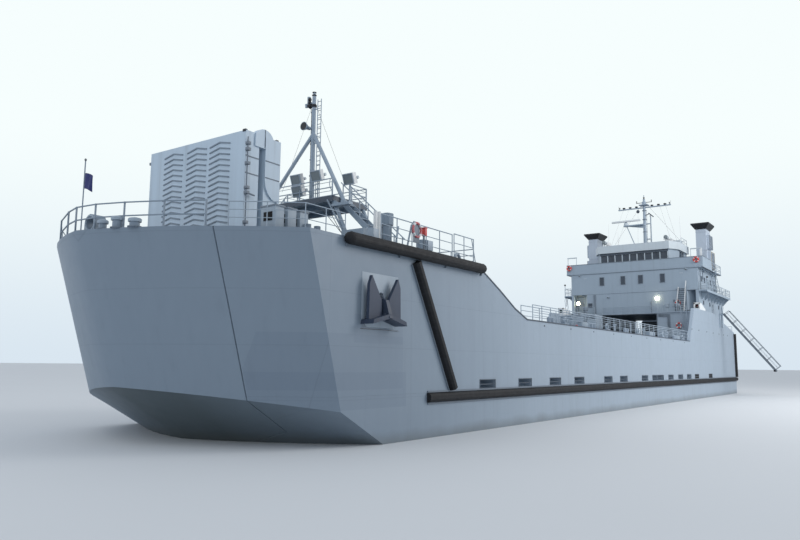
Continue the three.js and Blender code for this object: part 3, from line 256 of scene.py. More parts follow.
def hull_finish():
    finish = Finish("hull_grey", srgb(150, 164, 178), roughness=0.5, ior=1.45)
    weather(finish)
    # Painted shade, darker towards the bow
    finish.tint(finish.product(finish.ramp(finish.x, *SHADED_BOW), 0.6), srgb(104, 120, 136))
    outboard = finish.math("GREATER_THAN", finish.y, PAINTED_SIDE)
    for x0, x1, z0, z1 in REPAINTED:
        along = finish.inside(finish.x, (x0 - MIDSHIP) * MM, (x1 - MIDSHIP) * MM)
        here = finish.product(along, finish.inside(finish.z, z0 * MM, z1 * MM), outboard)
        finish.tint(finish.product(here, 0.13), srgb(82, 98, 120))
    plating(finish)
    out = finish.math("ABSOLUTE", finish.y)
    fall = finish.math("ADD", finish.product(out, KNUCKLE_SLOPE), finish.product(out, out, KNUCKLE_CURVE))
    below = finish.product(finish.math("LESS_THAN", finish.math("ADD", finish.z, fall), KNUCKLE),
                           finish.math("GREATER_THAN", finish.x, BOW_AFT),
                           finish.math("LESS_THAN", out, SKIN))
    # Painted shade on the walls of the lane aft
    lane = finish.product(finish.math("LESS_THAN", out, SHADED_LANE_WALL["y"]),
                          finish.math("LESS_THAN", finish.x, SHADED_LANE_WALL["fore"]),
                          finish.math("GREATER_THAN", finish.z, SHADED_LANE_WALL["foot"]))
    finish.tint(lane, srgb(46, 53, 60))
    # Painted shade on the bow's underside, below the knuckle
    aside = finish.math("ABSOLUTE", finish.math("SUBTRACT", finish.y, BOW_UNDER_SHADE["y"]))
    under_shade = finish.ramp(aside, BOW_UNDER_SHADE["reach"], BOW_UNDER_SHADE["core"])
    finish.tint(finish.product(below, under_shade), srgb(84, 96, 102))
    hood = finish.product(finish.inside(finish.x, *HOOD["x"]), finish.inside(out, *HOOD["y"]),
                          finish.math("GREATER_THAN", finish.z, HOOD["z"]))
    finish.tint(hood, srgb(214, 219, 222))
    decks(finish)
    uneven = finish.product(finish.noise(7, 4), 0.05)
    soil = finish.ramp(finish.math("ADD", finish.z, uneven), *SOIL)
    finish.tint(finish.product(soil, 0.45), srgb(84, 86, 80))
    finish.tint(finish.math("LESS_THAN", finish.z, WATERLINE * MM), srgb(58, 34, 30))
    finish.roughen(finish.noise(14, 4), 0.42, 0.6)
    return finish.done()


def stern_ramp_finish():
    """Grey outside, and dark with painted shade on the face that vehicles drive over."""
    finish = Finish("stern_ramp_grey", srgb(140, 153, 166), ior=1.45)
    weather(finish)
    # Painted shade on the ramp's inner face
    finish.tint(finish.math("GREATER_THAN", finish.x, (STERN_RAMP_FACE - MIDSHIP) * MM), srgb(44, 50, 57))
    finish.roughen(finish.noise(18, 4), 0.45, 0.65)
    return finish.done()


def paint(name, colour, deck_levels=(), rough=(0.42, 0.6), **wear):
    finish = Finish(name, colour, ior=1.45)
    weather(finish, **wear)
    if deck_levels:
        decks(finish, deck_levels)
    finish.roughen(finish.noise(18, 4), *rough)
    return finish.done()


def metal(name, colour, rough=(0.25, 0.45)):
    finish = Finish(name, colour, metallic=0.9)
    finish.shade(finish.noise(30, 5), 0.12)
    finish.raise_by(finish.noise(300, 2), 0.2)
    finish.roughen(finish.noise(22, 4), *rough)
    return finish.done()


def rubber_finish():
    finish = Finish("fender_rubber", srgb(15, 17, 22), ior=1.5)
    finish.shade(finish.noise(6, 5), 0.25)
    chalk = finish.ramp(finish.noise(24, 6, (1, 1, 3)), 0.52, 0.75)
    finish.tint(finish.product(chalk, 0.25), srgb(48, 52, 60))
    finish.raise_by(finish.noise(140, 4), 0.9)
    ribs = finish.math("PINGPONG", finish.math("ADD", finish.x, RIBS["shift"]), RIBS["pitch"])
    finish.raise_by(finish.math("LESS_THAN", ribs, RIBS["width"]), -0.8)
    finish.roughen(finish.noise(40, 4), 0.62, 0.85)
    return finish.done(0.002)


def glass_finish(name, colour, rough=(0.05, 0.16)):
    finish = Finish(name, colour, ior=1.45, coat_weight=0.2)
    finish.shade(finish.noise(12, 3), 0.2)
    finish.roughen(finish.noise(60, 4), *rough)
    return finish.done()


def lamp_finish(name, colour, power):
    finish = Finish(name, colour, roughness=0.3, emission_strength=power)
    finish.shade(finish.noise(90, 2), 0.08)
    finish.shader.inputs["Emission Color"].default_value = colour
    return finish.done()


def cloth_finish():
    finish = Finish("flag_blue", srgb(38, 46, 104), roughness=0.85, sheen_weight=0.3)
    for value in (finish.y, finish.z):
        off = finish.math("PINGPONG", finish.math("ADD", value, THREADS["shift"]), THREADS["pitch"])
        thread = finish.product(off, THREADS["gain"])
        finish.raise_by(thread, 0.4)
        finish.shade(thread, 0.06)
    finish.shade(finish.noise(60, 4), 0.12)
    return finish.done(0.0004)


HULL = hull_finish()
HOUSE = paint("house_grey", srgb(148, 163, 177), DECK_LEVELS + (1544.7, PLATFORM))
FRONT = paint("fitting_grey", srgb(150, 164, 177), blotch=0.05)
LIGHT = paint("stack_grey", srgb(172, 183, 196))
PALE = paint("pale_grey", srgb(186, 196, 203), (ROOF,))
RAMP = paint("ramp_grey", srgb(180, 197, 212), blotch=0.05, streak=0.1)
SHADOW = paint("dark_grey", srgb(74, 84, 96), blotch=0.08)
CLEAT = paint("cleat_grey", srgb(118, 132, 146), blotch=0.06)
TRIM = paint("mid_grey", srgb(112, 123, 135), blotch=0.06)
DECKING = paint("deck_fittings", srgb(84, 90, 96), blotch=0.1, rough=(0.6, 0.8))
WHITE = paint("white_paint", srgb(218, 221, 222), blotch=0.03)
BLACK = paint("black_paint", srgb(34, 36, 40), blotch=0.15)
ANCHOR = paint("anchor_blue_grey", srgb(52, 63, 82), blotch=0.12, streak=0.2)
RED = paint("signal_red", srgb(196, 66, 60), blotch=0.08)
GREEN = paint("signal_green", srgb(38, 120, 78), blotch=0.08)
TAN = paint("primer_tan", srgb(158, 148, 124), blotch=0.08)
VOID = paint("shadowed_inside", srgb(18, 20, 23), rough=(0.8, 0.95))
STERN_RAMP = stern_ramp_finish()
RUBBER = rubber_finish()
GLASS = glass_finish("dark_glass", srgb(38, 54, 70))
LENS = glass_finish("lamp_lens", srgb(122, 132, 136), (0.08, 0.2))
WARM = lamp_finish("lit_lamp", (1.0, 0.86, 0.56, 1.0), 14.0)
BRONZE = metal("propeller_bronze", srgb(168, 130, 70))
ALLOY = metal("ladder_alloy", srgb(120, 128, 136), (0.35, 0.5))
WIRE = metal("steel_wire", srgb(120, 124, 128), (0.35, 0.5))
CLOTH = cloth_finish()


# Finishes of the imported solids

SOFT_ANGLE = math.radians(32)


def smoothing():
    """A node group that shades smooth across edges flatter than SOFT_ANGLE."""
    group = bpy.data.node_groups.new("soft_edges", "GeometryNodeTree")
    group.interface.new_socket("Geometry", in_out="INPUT", socket_type="NodeSocketGeometry")
    group.interface.new_socket("Geometry", in_out="OUTPUT", socket_type="NodeSocketGeometry")
    start = add_node(group, "NodeGroupInput")
    bare = add_node(group, "GeometryNodeRemoveAttribute", {0: start.outputs[0], "Name": "custom_normal"})
    faces = add_node(group, "GeometryNodeSetShadeSmooth", {0: bare.outputs[0]})
    angle = add_node(group, "GeometryNodeInputMeshEdgeAngle").outputs[0]
    flat = add_node(group, "FunctionNodeCompare", {0: angle, 1: SOFT_ANGLE}, operation="LESS_THAN")
    inputs = {0: faces.outputs[0], "Shade Smooth": flat.outputs[0]}
    edges = add_node(group, "GeometryNodeSetShadeSmooth", inputs, domain="EDGE")
    add_node(group, "NodeGroupOutput", {0: edges.outputs[0]})
    return group


SOFT_EDGES = smoothing()

NODE_FINISHES = (
    (HULL, ("hull_body", "bow_visor", "forecastle", "side_wall", "stern_casing", "rudder")),
    (LIGHT, ("stack",)),
    (HOUSE, ("deckhouse", "bridge_deck", "wheelhouse", "main_mast", "fore_mast", "fore_platform",
             "walkway", "mast_stairs", "windlass", "ladder_platform", "wall_rail", "forecastle_rail")),
    (RAMP, ("bow_ramp", "bow_ramp_flap")),
    (STERN_RAMP, ("stern_ramp",)),
    (PALE, ("wheelhouse_roof", "radar_scanner")),
    (RUBBER, ("upper_fender", "rub_rail", "diagonal_fender", "stern_fender")),
    (BLACK, ("stack_cap",)),
    (ANCHOR, ("anchor",)),
    (BRONZE, ("propeller",)),
    (ALLOY, ("accommodation_ladder",)),
    (CLOTH, ("jack_flag",)),
)


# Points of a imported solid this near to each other, in metres, are one
WELD_REACH = 0.00002


def dress_nodes():
    finish_of = {}
    for finish, stems in NODE_FINISHES:
        for stem in stems:
            for name in (stem, stem + "_port", stem + "_starboard"):
                finish_of[name] = finish
    for name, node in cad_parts.items():
        node.data.materials.clear()
        node.data.materials.append(finish_of[name])
        weld = node.modifiers.new("weld", "WELD")
        weld.merge_threshold = WELD_REACH
        soft = node.modifiers.new("soft", "NODES")
        soft.node_group = SOFT_EDGES


# Mesh pieces

# Edges sharper than this, in radians, are bevelled
BEVELLED_ANGLE = 0.7


def section(centre, first, second, radius, sides):
    """Points on a circle in the plane of two directions."""
    angles = [2 * math.pi * i / sides for i in range(sides)]
    return [centre + (first * math.cos(a) + second * math.sin(a)) * radius for a in angles]


def circle(centre, axis, radius, sides):
    first = axis.cross(Z if abs(axis.z) < 0.9 else X).normalized()
    return section(centre, first, axis.cross(first), radius, sides)


class Piece:
    """One named object, gathered from small shapes, each in the finish last chosen with use().

    A piece with side -1 takes port coordinates and lies mirrored, to starboard.
    """

    def __init__(self, name, slot, finish, body="hull", side=1):
        self.name = name
        self.slot = slot
        self.body = body
        self.mesh = bmesh.new()
        self.finishes = [finish]
        self.index = 0
        self.side = side

    def both_sides(self):
        """Shapes made in a loop over this are made to port and then, mirrored, to starboard."""
        for self.side in (1, -1):
            yield self.side
        self.side = 1

    def use(self, finish):
        if finish not in self.finishes:
            self.finishes.append(finish)
        self.index = self.finishes.index(finish)
        return self

    def face(self, corners):
        self.mesh.faces.new(corners).material_index = self.index

    def stack(self, rings, ends=True):
        """Skin over rings of points, one after another, with the first and last ring closed."""
        rows = [[self.mesh.verts.new((x, y * self.side, z)) for x, y, z in ring] for ring in rings]
        count = len(rows[0])
        for low, high in zip(rows, rows[1:]):
            for i in range(count):
                j = (i + 1) % count
                self.face((low[i], low[j], high[j], high[i]))
        if ends:
            self.face(list(reversed(rows[0])))
            self.face(rows[-1])
        return self

    def box(self, x0, x1, y0, y1, z0, z1):
        ring = ((x0, y0), (x1, y0), (x1, y1), (x0, y1))
        return self.stack([[(x, y, z) for x, y in ring] for z in (z0, z1)])

    def plate(self, outline, depth):
        """A flat outline of points, made solid along depth."""
        depth = Vector(depth)
        outline = [Vector(point) for point in outline]
        return self.stack([outline, [point + depth for point in outline]])

    def slab(self, centre, out, up, span, depth):
        """A block on a face that looks out: its span across and up from centre, and two depths."""
        across = up.cross(out)
        a0, a1, b0, b1 = span
        foot = centre + out * depth[0]
        corners = ((a0, b0), (a1, b0), (a1, b1), (a0, b1))
        return self.plate([foot + across * a + up * b for a, b in corners], out * (depth[1] - depth[0]))

    def beam(self, start, end, width, height=None):
        start, end = Vector(start), Vector(end)
        along = (end - start).normalized()
        across = along.cross(Z if abs(along.z) < 0.9 else X).normalized() * width / 2
        up = across.cross(along).normalized() * (height or width) / 2
        ring = (across + up, up - across, -across - up, across - up)
        return self.stack([[at + offset for offset in ring] for at in (start, end)])

    def turned(self, centre, axis, profile, sides=14):
        """Rings of (way along the axis, radius), closed at both ends."""
        axis = Vector(axis).normalized()
        centre = Vector(centre)
        return self.stack([circle(centre + axis * way, axis, radius, sides) for way, radius in profile])

    def tube(self, points, radius, sides=6):
        """A round bar through the points, mitred where it bends."""
        points = [Vector(point) for point in points]
        ways = [(b - a).normalized() for a, b in zip(points, points[1:])]
        across = ways[0].cross(Z if abs(ways[0].z) < 0.9 else X).normalized()
        rings = []
        for i, point in enumerate(points):
            before, after = ways[max(i - 1, 0)], ways[min(i, len(ways) - 1)]
            along = (before + after).normalized()
            across = (across - along * across.dot(along)).normalized()
            rings.append(section(point, across, along.cross(across), radius, sides))
        return self.stack(rings)

    def ring(self, centre, axis, radius, thick, segments=20, sides=8, start=0, stop=None):
        """A round bar bent to a ring, or to the part of it from one segment to another."""
        stop = segments if stop is None else stop
        centre, axis = Vector(centre), Vector(axis).normalized()
        spine = circle(centre, axis, radius, segments)
        rings = []
        for i in range(start, stop + 1):
            point = spine[i % segments]
            rings.append(section(point, (point - centre).normalized(), axis, thick, sides))
        if stop - start < segments:
            return self.stack(rings)
        return self.stack(rings[:-1] + [rings[0]], ends=False)

    def done(self, bevel=0.0, replaces=()):
        bmesh.ops.remove_doubles(self.mesh, verts=self.mesh.verts, dist=0.0005)
        if bevel:
            hard = [edge for edge in self.mesh.edges
                    if edge.is_manifold and edge.calc_face_angle(0) > BEVELLED_ANGLE]
            bmesh.ops.bevel(self.mesh, geom=hard, offset=bevel, segments=2, profile=0.5, affect="EDGES")
        bmesh.ops.recalc_face_normals(self.mesh, faces=self.mesh.faces)
        for face in self.mesh.faces:
            face.smooth = True
        self.mesh.transform(TO_FRAME)
        data = mesh_data(self.name, self.mesh)
        for finish in self.finishes:
            data.materials.append(finish)
        data.set_sharp_from_angle(angle=SOFT_ANGLE)
        piece = new_object(self.name, data)
        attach(piece, self.body)
        if replaces:
            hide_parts(*replaces)


def spread(low, high, count):
    """Count even steps from low to high, both ends included."""
    return [low + (high - low) * i / (count - 1) for i in range(count)]


def rail(piece, z, line, height, bay=150, levels=(0.36, 0.68, 1.0), post=3.0, bar=2.2):
    """A guard rail that stands at z on a line: round posts with feet, and bars between them."""
    points = [Vector((x, y, z)) for x, y in line]
    for level in levels:
        piece.tube([point + Z * height * level for point in points], post if level == 1.0 else bar, 6)
    for first, last in zip(points, points[1:]):
        count = max(1, round((last - first).length / bay))
        for i in range(count + 1):
            foot = first.lerp(last, i / count)
            piece.tube([foot - Z, foot + Z * height], post)
            piece.turned(foot - Z, Z, ((0, post * 2.2), (3, post * 2.2), (4, post * 1.2)), 8)


def ladder(piece, foot, top, half, across, rung_pitch=26, stringer=5.0, rung=2.4):
    """Two stringers with rungs between them, half of its width to each side along across."""
    foot, top, across = Vector(foot), Vector(top), Vector(across).normalized() * half
    for way in (-1, 1):
        piece.beam(foot + across * way, top + across * way, stringer, stringer * 1.6)
    count = int((top - foot).length / rung_pitch)
    for i in range(1, count):
        middle = foot.lerp(top, i / count)
        piece.tube([middle - across, middle + across], rung)


def lifebuoy(piece, centre, axis, radius=30, thick=8.5, band=1):
    """A red ring with four pale bands, each band segments and one more long, and its bracket."""
    centre, axis = Vector(centre), Vector(axis).normalized()
    piece.use(RED).ring(centre, axis, radius, thick, 24, 8)
    piece.use(WHITE)
    for quarter in range(4):
        middle = quarter * 6 + 3
        piece.ring(centre, axis, radius, thick * 1.06, 24, 8, middle - band, middle + 1)
    piece.use(TRIM)
    back = centre - axis * thick
    piece.beam(back - Z * radius * 0.9, back + Z * radius * 0.9, 6, 4)
    piece.beam(back - Z * radius * 0.9, centre - Z * radius * 0.9 + axis * thick * 1.3, 5, 3)


def border(a0, a1, b0, b1, rim, post=None):
    """Four bars around an opening, of which the upper and lower run over the posts' ends."""
    post = post or rim
    return ((a0 - post, a1 + post, b1, b1 + rim), (a0 - post, a1 + post, b0 - rim, b0),
            (a0 - post, a0, b0, b1), (a1, a1 + post, b0, b1))


def framed_pane(piece, centre, out, width, height):
    """A dark pane in a raised frame on a wall that faces out."""
    centre = Vector(centre)
    pane = (-width / 2, width / 2, -height / 2, height / 2)
    piece.use(GLASS).slab(centre, out, Z, pane, (-0.5, 1.75))
    piece.use(TRIM)
    for bar in border(*pane, 5):
        piece.slab(centre, out, Z, bar, (-0.5, 5))


def door(piece, centre, out, width=72, height=176, port_light=True):
    """A weathertight door: raised frame, leaf with dogs, hinges, handle and a round light."""
    centre = Vector(centre)
    w, h = width / 2, height / 2
    piece.use(TRIM)
    for bar in border(-w, w, -h, h, 6):
        piece.slab(centre, out, Z, bar, (-0.5, 5))
    piece.use(FRONT).slab(centre, out, Z, (-w, w, -h, h), (-0.5, 3))
    piece.use(TRIM)
    for level in (-0.7 * h, -0.25 * h, 0.25 * h, 0.7 * h):
        for edge in (-w, w):
            piece.slab(centre, out, Z, (edge - 7, edge + 7, level - 2.5, level + 2.5), (3, 8))
    handle = Z.cross(out) * w * 0.62 * piece.side
    piece.turned(centre + handle + out * 3, out, ((0, 3), (7, 3), (8, 2)), 8)
    if port_light:
        spot = centre + Z * h * 0.5 + out * 3
        piece.turned(spot, out, ((0, 14), (3, 14), (4, 12)), 16)
        piece.use(GLASS).turned(spot, out, ((4, 11), (4.6, 10.5)), 16)


def floodlight_glass(piece, centre, tilt, size):
    """Rim, glass, casing and back of a square lamp head whose front is tipped down by tilt."""
    centre = Vector(centre)
    out = Vector((math.cos(tilt), 0, -math.sin(tilt)))
    up = Vector((math.sin(tilt), 0, math.cos(tilt)))
    w, h = size / 2, size * 0.43
    glass = (-w + 5, w - 5, -h + 5, h - 5)
    front = centre + out * 15
    piece.use(LENS).slab(front, out, up, glass, (-1, 1.5))
    piece.use(FRONT)
    for bar in border(*glass, 5):
        piece.slab(front, out, up, bar, (-1, 4))
    piece.use(WHITE)
    for bar in border(-w, w, -h, h, 1.2):
        piece.slab(front, out, up, bar, (-30, -1))
    piece.use(PALE)
    piece.turned(centre - out * 15, -out, ((0, size * 0.32), (18, size * 0.3), (26, size * 0.16)), 14)
    piece.turned(centre - out * 28 + Y * size * 0.1, Y, ((-size * 0.3, 9), (size * 0.45, 9)), 10)


def locker(piece, plan, z0, z1, lid=4, thick=4, finishes=()):
    """A box on its plan of X and Y ranges, with a lid that reaches out all round."""
    box, cover = finishes or (FRONT, TRIM)
    x0, x1, y0, y1 = plan
    piece.use(box).box(*plan, z0, z1)
    piece.use(cover).box(x0 - lid, x1 + lid, y0 - lid, y1 + lid, z1 - 2, z1 + thick)


# Bow

# Chevron bars on the ramp's outer section, and the rod along its edge
CLEATS = {"columns": (-176, 11, 187), "half": 76, "rise": 16, "bar": 6.5, "pitch": 28.6, "top": 1668,
          "rows": 26}
ROD = {"x": 8948, "y": 382, "foot": 1180, "top": 1662, "clamps": (1385, 1410, 1530, 1600, 1630, 1240)}


def ramp_gear():
    cleats = Piece("ramp_cleats", "house_paint", CLEAT)
    half, rise, bar = CLEATS["half"], CLEATS["rise"], CLEATS["bar"]
    outline = ((-half, -rise), (0, 0), (half, -rise), (half, -rise - bar), (0, -bar), (-half, -rise - bar))
    for y in CLEATS["columns"]:
        for row in range(CLEATS["rows"]):
            z = CLEATS["top"] - row * CLEATS["pitch"]
            cleats.plate([(FLAP_FACE - 0.4, y + a, z + b) for a, b in outline], X * 4)
    cleats.done()
    gear = Piece("ramp_side_gear", "house_paint", TRIM)
    for _ in gear.both_sides():
        for z in (1570, 1485):
            for x0, x1, y in ((8866, 8953, 372.5), (8731, 8828, 381.5)):
                gear.use(TRIM).box(x0, x1, y, y + 3, z - 2.5, z + 2.5)
        gear.use(SHADOW).box(8833, 8836, 379.5, 382, 1634, 1727)
    x, y = ROD["x"], ROD["y"]
    gear.use(TRIM).tube([(x, y, ROD["foot"]), (x, y, ROD["top"])], 3.5, 8)
    for z in ROD["clamps"]:
        gear.box(x - 12, x + 8, 372, 392, z - 7, z + 7)
    gear.tube([(x + 2, 384, 1384), (x - 45, 392, 1376)], 4, 8)
    gear.box(x - 10, x + 6, -388, -372, 1637, 1651)
    gear.use(BLACK).box(8944, 8957, 350, 371, 1690, 1703)
    gear.box(8734, 8750, 350, 374, 1688, 1700)
    gear.done(0.5)
    stiffeners = Piece("ramp_back_stiffeners", "deck_paint", RAMP)
    for y in spread(-330, 330, 9):
        stiffeners.box(8722, 8731, y - 4, y + 4, 470, 1670)
    for z in spread(560, 1640, 7):
        stiffeners.box(8724, 8731, -366, 366, z - 4, z + 4)
    stiffeners.done(0.6)


# The flag's hoist, the reach of its fly, how it sags and is blown, and its faces across and down
FLAG = {"x": 9540, "y": -9.1, "top": 1402, "hoist": 70, "fly": 45, "sag": 15, "blown": 14,
        "across": 12, "down": 14}


def jack():
    """The flag, hanging from its upper corner in loose folds."""
    mesh = bmesh.new()
    rows = []
    for j in range(FLAG["down"] + 1):
        row = []
        for i in range(FLAG["across"] + 1):
            u, v = i / FLAG["across"], j / FLAG["down"]
            fold = math.sin(2 * math.pi * (1.25 * u + 0.35 * v)) * 3.2 * u
            drop = FLAG["sag"] * u * u + 4 * u * v
            y = FLAG["y"] + FLAG["fly"] * (u - 0.1 * u * u * v)
            x = FLAG["x"] + fold - FLAG["blown"] * u * u
            row.append(mesh.verts.new((x, y, FLAG["top"] - FLAG["hoist"] * v - drop)))
        rows.append(row)
    for upper, lower in zip(rows, rows[1:]):
        for i in range(FLAG["across"]):
            mesh.faces.new((upper[i], lower[i], lower[i + 1], upper[i + 1]))
    mesh.transform(TO_FRAME)
    for face in mesh.faces:
        face.smooth = True
    data = mesh_data("jack_cloth", mesh)
    data.materials.append(CLOTH)
    flag = new_object("jack_cloth", data)
    thickness = flag.modifiers.new("thickness", "SOLIDIFY")
    thickness.thickness = 0.0006
    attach(flag, "visor")
    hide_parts("jack_flag")


STEM = 9570
SEAM_Y = 594.5
BOW_POSTS = (-560, -400, -171, -46, 86, 229, 400, 560)


def bow_edge(y):
    """Where the foredeck ends ahead, at this distance from the middle."""
    return STEM - 0.2 * abs(y) - y * y / 2660


def deck_edge(y, inset=14):
    return bow_edge(y) - inset, y


def visor_gear():
    gear = Piece("visor_deck_gear", "hull_paint", FRONT, "visor")
    for y in BOW_POSTS:
        gear.turned((*deck_edge(y), FORE_DECK), Z, ((0, 8), (3, 8), (4, 5)), 8)
    for x in (9477, 9529):
        gear.ring((x, 39, 1172), X, 34.5, 5, 28, 8)
    for x, y, r, rise in ((9520, 122, 17, 37), (9500, 200, 22, 46), (9474, 284, 22, 35)):
        top = FORE_DECK + rise
        gear.use(FRONT).turned((x, y, top), Z, ((-12, r + 6), (-2, r + 7), (3, r + 3), (7, r * 0.4)), 16)
        gear.use(TRIM).turned((x, y, FORE_DECK), Z, ((0, r + 8), (4, r + 8), (5, r + 3)), 16)
    for y in (-330, -250):
        gear.use(FRONT).turned((9300, y, FORE_DECK), Z, ((0, 15), (44, 15), (45, 19), (52, 19), (54, 15)), 14)
    gear.use(TRIM).box(9262, 9338, -352, -228, FORE_DECK - 1, FORE_DECK + 5)
    gear.use(WIRE).turned((9540, -12, 1458), Z, ((0, 3.2), (4, 5), (9, 5), (12, 1.5)), 12)
    gear.done()
    seam = Piece("visor_seam", "rubber", RUBBER)
    edge = bow_edge(SEAM_Y)
    for _ in seam.both_sides():
        seam.beam((edge - 75, SEAM_Y, FORE_DECK - 1.5), (edge - 4, SEAM_Y, FORE_DECK - 1.5), 3, 3)
    seam.box(9038, 9042, 560, 590, FORE_DECK - 4, FORE_DECK - 1)
    seam.done()


def hinge_gear():
    gear = Piece("visor_hinge_gear", "hull_paint", TRIM)
    for _ in gear.both_sides():
        for y, out in ((433, -Y), (522, Y)):
            gear.turned((8400, y, 1200), out, ((0, 20), (5, 20), (7, 16)), 16)
        for x in (8352, 8448):
            for y in (424, 508):
                gear.box(x - 5, x + 5, y, y + 23, FORE_DECK, FORE_DECK + 26)
    gear.done(0.6)
    arms = Piece("visor_arm_flanges", "hull_paint", FRONT, "visor")
    for _ in arms.both_sides():
        for z0, z1, x0, x1 in ((1229, 1177, 8460, 9010), (1167, 1147, 8460, 8970)):
            arms.beam((x0, 477.5, z0), (x1, 477.5, z1), 52, 4)
    arms.done(0.5)


# Forecastle

CHOCKS = (8570, 7790)
# Ventilators, by place in X and Y, height and radius
VENTILATORS = ((8365, 796, 190, 30), (7800, 640, 150, 36))
FORE_RAIL_Y = 903


def forecastle_gear(name, side):
    rails = Piece("forecastle_rails_" + name, "house_paint", FRONT, side=side)
    y = FORE_RAIL_Y
    rail(rails, FORE_DECK, [(7900, y), (8560, y)], 152, 132)
    bow = [deck_edge(edge) for edge in (640, 770, 893)] + [(8820, 897)]
    rail(rails, FORE_DECK, bow, 107, 130, post=2.4, bar=1.8)
    rail(rails, FORE_DECK, [(7660, y), (7880, y)], 160, 140)
    rail(rails, FORE_DECK, [(7620, 420), (7620, 880)], 110)
    rails.tube([(7682, y, 1298), (7633, y, 1150)], 3)
    for x0, z0, x1, z1 in ((8289, 1281, 8332, 1145), (8406, 1253, 8430, 1145)):
        rails.tube([(x0, 895, z0), (x1, 895, z1)], 5, 8)
    rails.done(replaces=["forecastle_rail_" + name])

    gear = Piece("forecastle_gear_" + name, "house_paint", FRONT, side=side)
    for x in CHOCKS:
        gear.box(x - 44, x + 44, 856, 884, FORE_DECK, FORE_DECK + 12)
        gear.ring((x, 870, FORE_DECK + 34), Y, 26, 9, 20, 8)
    # Lifebuoy on its board, the light beside it, and boxes at the rail
    gear.use(TRIM).box(8236, 8292, 906, 909, 1190, 1300)
    lifebuoy(gear, (8264, 912, 1257), Y, 36, 6.5)
    gear.use(RED).box(8164, 8180, 886, 908, 1240, 1284)
    gear.box(8161, 8183, 884, 910, 1281, 1286)
    gear.use(FRONT).box(8100, 8148, 870, 905, 1170, 1222)
    gear.box(8570, 8612, 860, 898, 1150, 1212)
    gear.use(TRIM).box(8168, 8177, 890, 898, FORE_DECK, 1241)
    for x in (8106, 8142):
        gear.box(x - 3, x + 3, 880, 896, FORE_DECK, 1171)
    gear.use(WHITE)
    for x in (8478, 8447):
        gear.turned((x, 806, FORE_DECK), Z, ((0, 13), (6, 13), (8, 10), (191, 10), (193, 8)), 14)
    for x, y, rise, r in VENTILATORS:
        head = (x, y, FORE_DECK + rise - 34)
        gear.use(FRONT).turned(head, Z, ((-6, r * 0.8), (0, r), (30, r), (34, r * 0.9)), 20)
        gear.use(SHADOW).turned(head, Z, ((33, r * 0.88), (42, r * 0.8), (47, r * 0.35)), 20)
        gear.turned(head, Z, ((-12, r * 0.86), (-8, r * 0.86)), 20)
    # Machinery boxes beside the ramp, with lids and dark openings
    for x in (8975, 9050, 9125):
        gear.use(FRONT).box(x - 26, x + 26, 704, 790, FORE_DECK, FORE_DECK + 96)
        gear.use(TRIM).box(x - 29, x + 29, 700, 794, FORE_DECK + 94, FORE_DECK + 101)
        gear.use(VOID).box(x + 25, x + 27.5, 720, 774, FORE_DECK + 32, FORE_DECK + 72)
    locker(gear, (8000, 8080, 690, 790), FORE_DECK, FORE_DECK + 30, 6, 6, (DECKING, FRONT))
    gear.done(0.7)


def windlass_gear(name, side):
    """Brake wheels, chain and chain pipe, the motor's fins and the drum's rope."""
    gear = Piece("windlass_gear_" + name, "house_paint", TRIM, side=side)
    x, z = 8345, FORE_DECK + 88
    for y in (607, 680):
        gear.ring((x - 78, y, z + 26), X, 17, 2, 18, 6)
        gear.tube([(x - 78, y, z + 26), (x - 40, y, z - 10)], 3)
    for i in range(14):
        gear.box(x - 50 + i * 7.4, x - 47 + i * 7.4, 697, 762, z + 43, z + 50)
    gear.use(WIRE)
    for turn in range(11):
        gear.ring((x, 624 + turn * 4.4, z), Y, 37.6, 2.4, 24, 6)
    gear.use(ANCHOR)
    for link in range(15):
        t = link / 14
        centre = (x + 44 + t * 150, 596 + 10 * t, z + 22 - t * 88)
        gear.ring(centre, Y if link % 2 else Z, 8.5, 2.6, 12, 6)
    gear.turned((8545, 606, FORE_DECK), Z, ((0, 24), (14, 24), (16, 18)), 18)
    gear.done()


# Forward mast and platform

def foremast_gear():
    gear = Piece("fore_mast_gear", "black_paint", BLACK)
    x = 8069
    for z in (2216, 2196):
        gear.turned((x + 6, -24, z), -Y, ((0, 9), (6, 12), (12, 12), (15, 8)), 14)
    gear.turned((x, -20, 2176), -Y, ((0, 12), (14, 19), (34, 5)), 16)
    top = ((0, 10), (8, 10), (9, 15), (13, 15), (14, 8), (26, 8), (27, 13), (31, 13), (33, 6))
    gear.turned((x, 0, 2228), Z, top, 14)
    gear.turned((x, 0, 2160), Z, ((0, 15), (12, 19), (18, 15)), 12)
    # Dark disc in the horn's mouth: painted shade of its throat
    gear.turned((8111, -46, 2037), X, ((-1, 25), (0.8, 24)), 24)
    gear.use(FRONT).turned((8068, -46, 2037), -X, ((0, 11), (16, 11), (20, 7)), 14)
    gear.use(WIRE).tube([(x + 4, -16, 2150), (x + 4, -16, 1560)], 2.2)
    for _ in gear.both_sides():
        gear.tube([(x, 8, 2190), (x, 255, 1652)], 1.0, 4)
    gear.use(TRIM)
    for z in spread(1620, 2130, 6):
        gear.box(x - 4, x + 8, -20, -12, z - 4, z + 4)
    for z in spread(1575, 2190, 22):
        gear.tube([(x, 31, z), (x, 60, z)], 1.8)
    gear.done()

    lamps = Piece("floodlights", "white_paint", LENS)
    for *place, size in ((8100, -95, 1702, 78), (8100, 70, 1704, 78), (8160, -24, 1608, 78),
                         (8160, 375, 1628, 74)):
        floodlight_glass(lamps, place, 0.35, size)
    lamps.done()


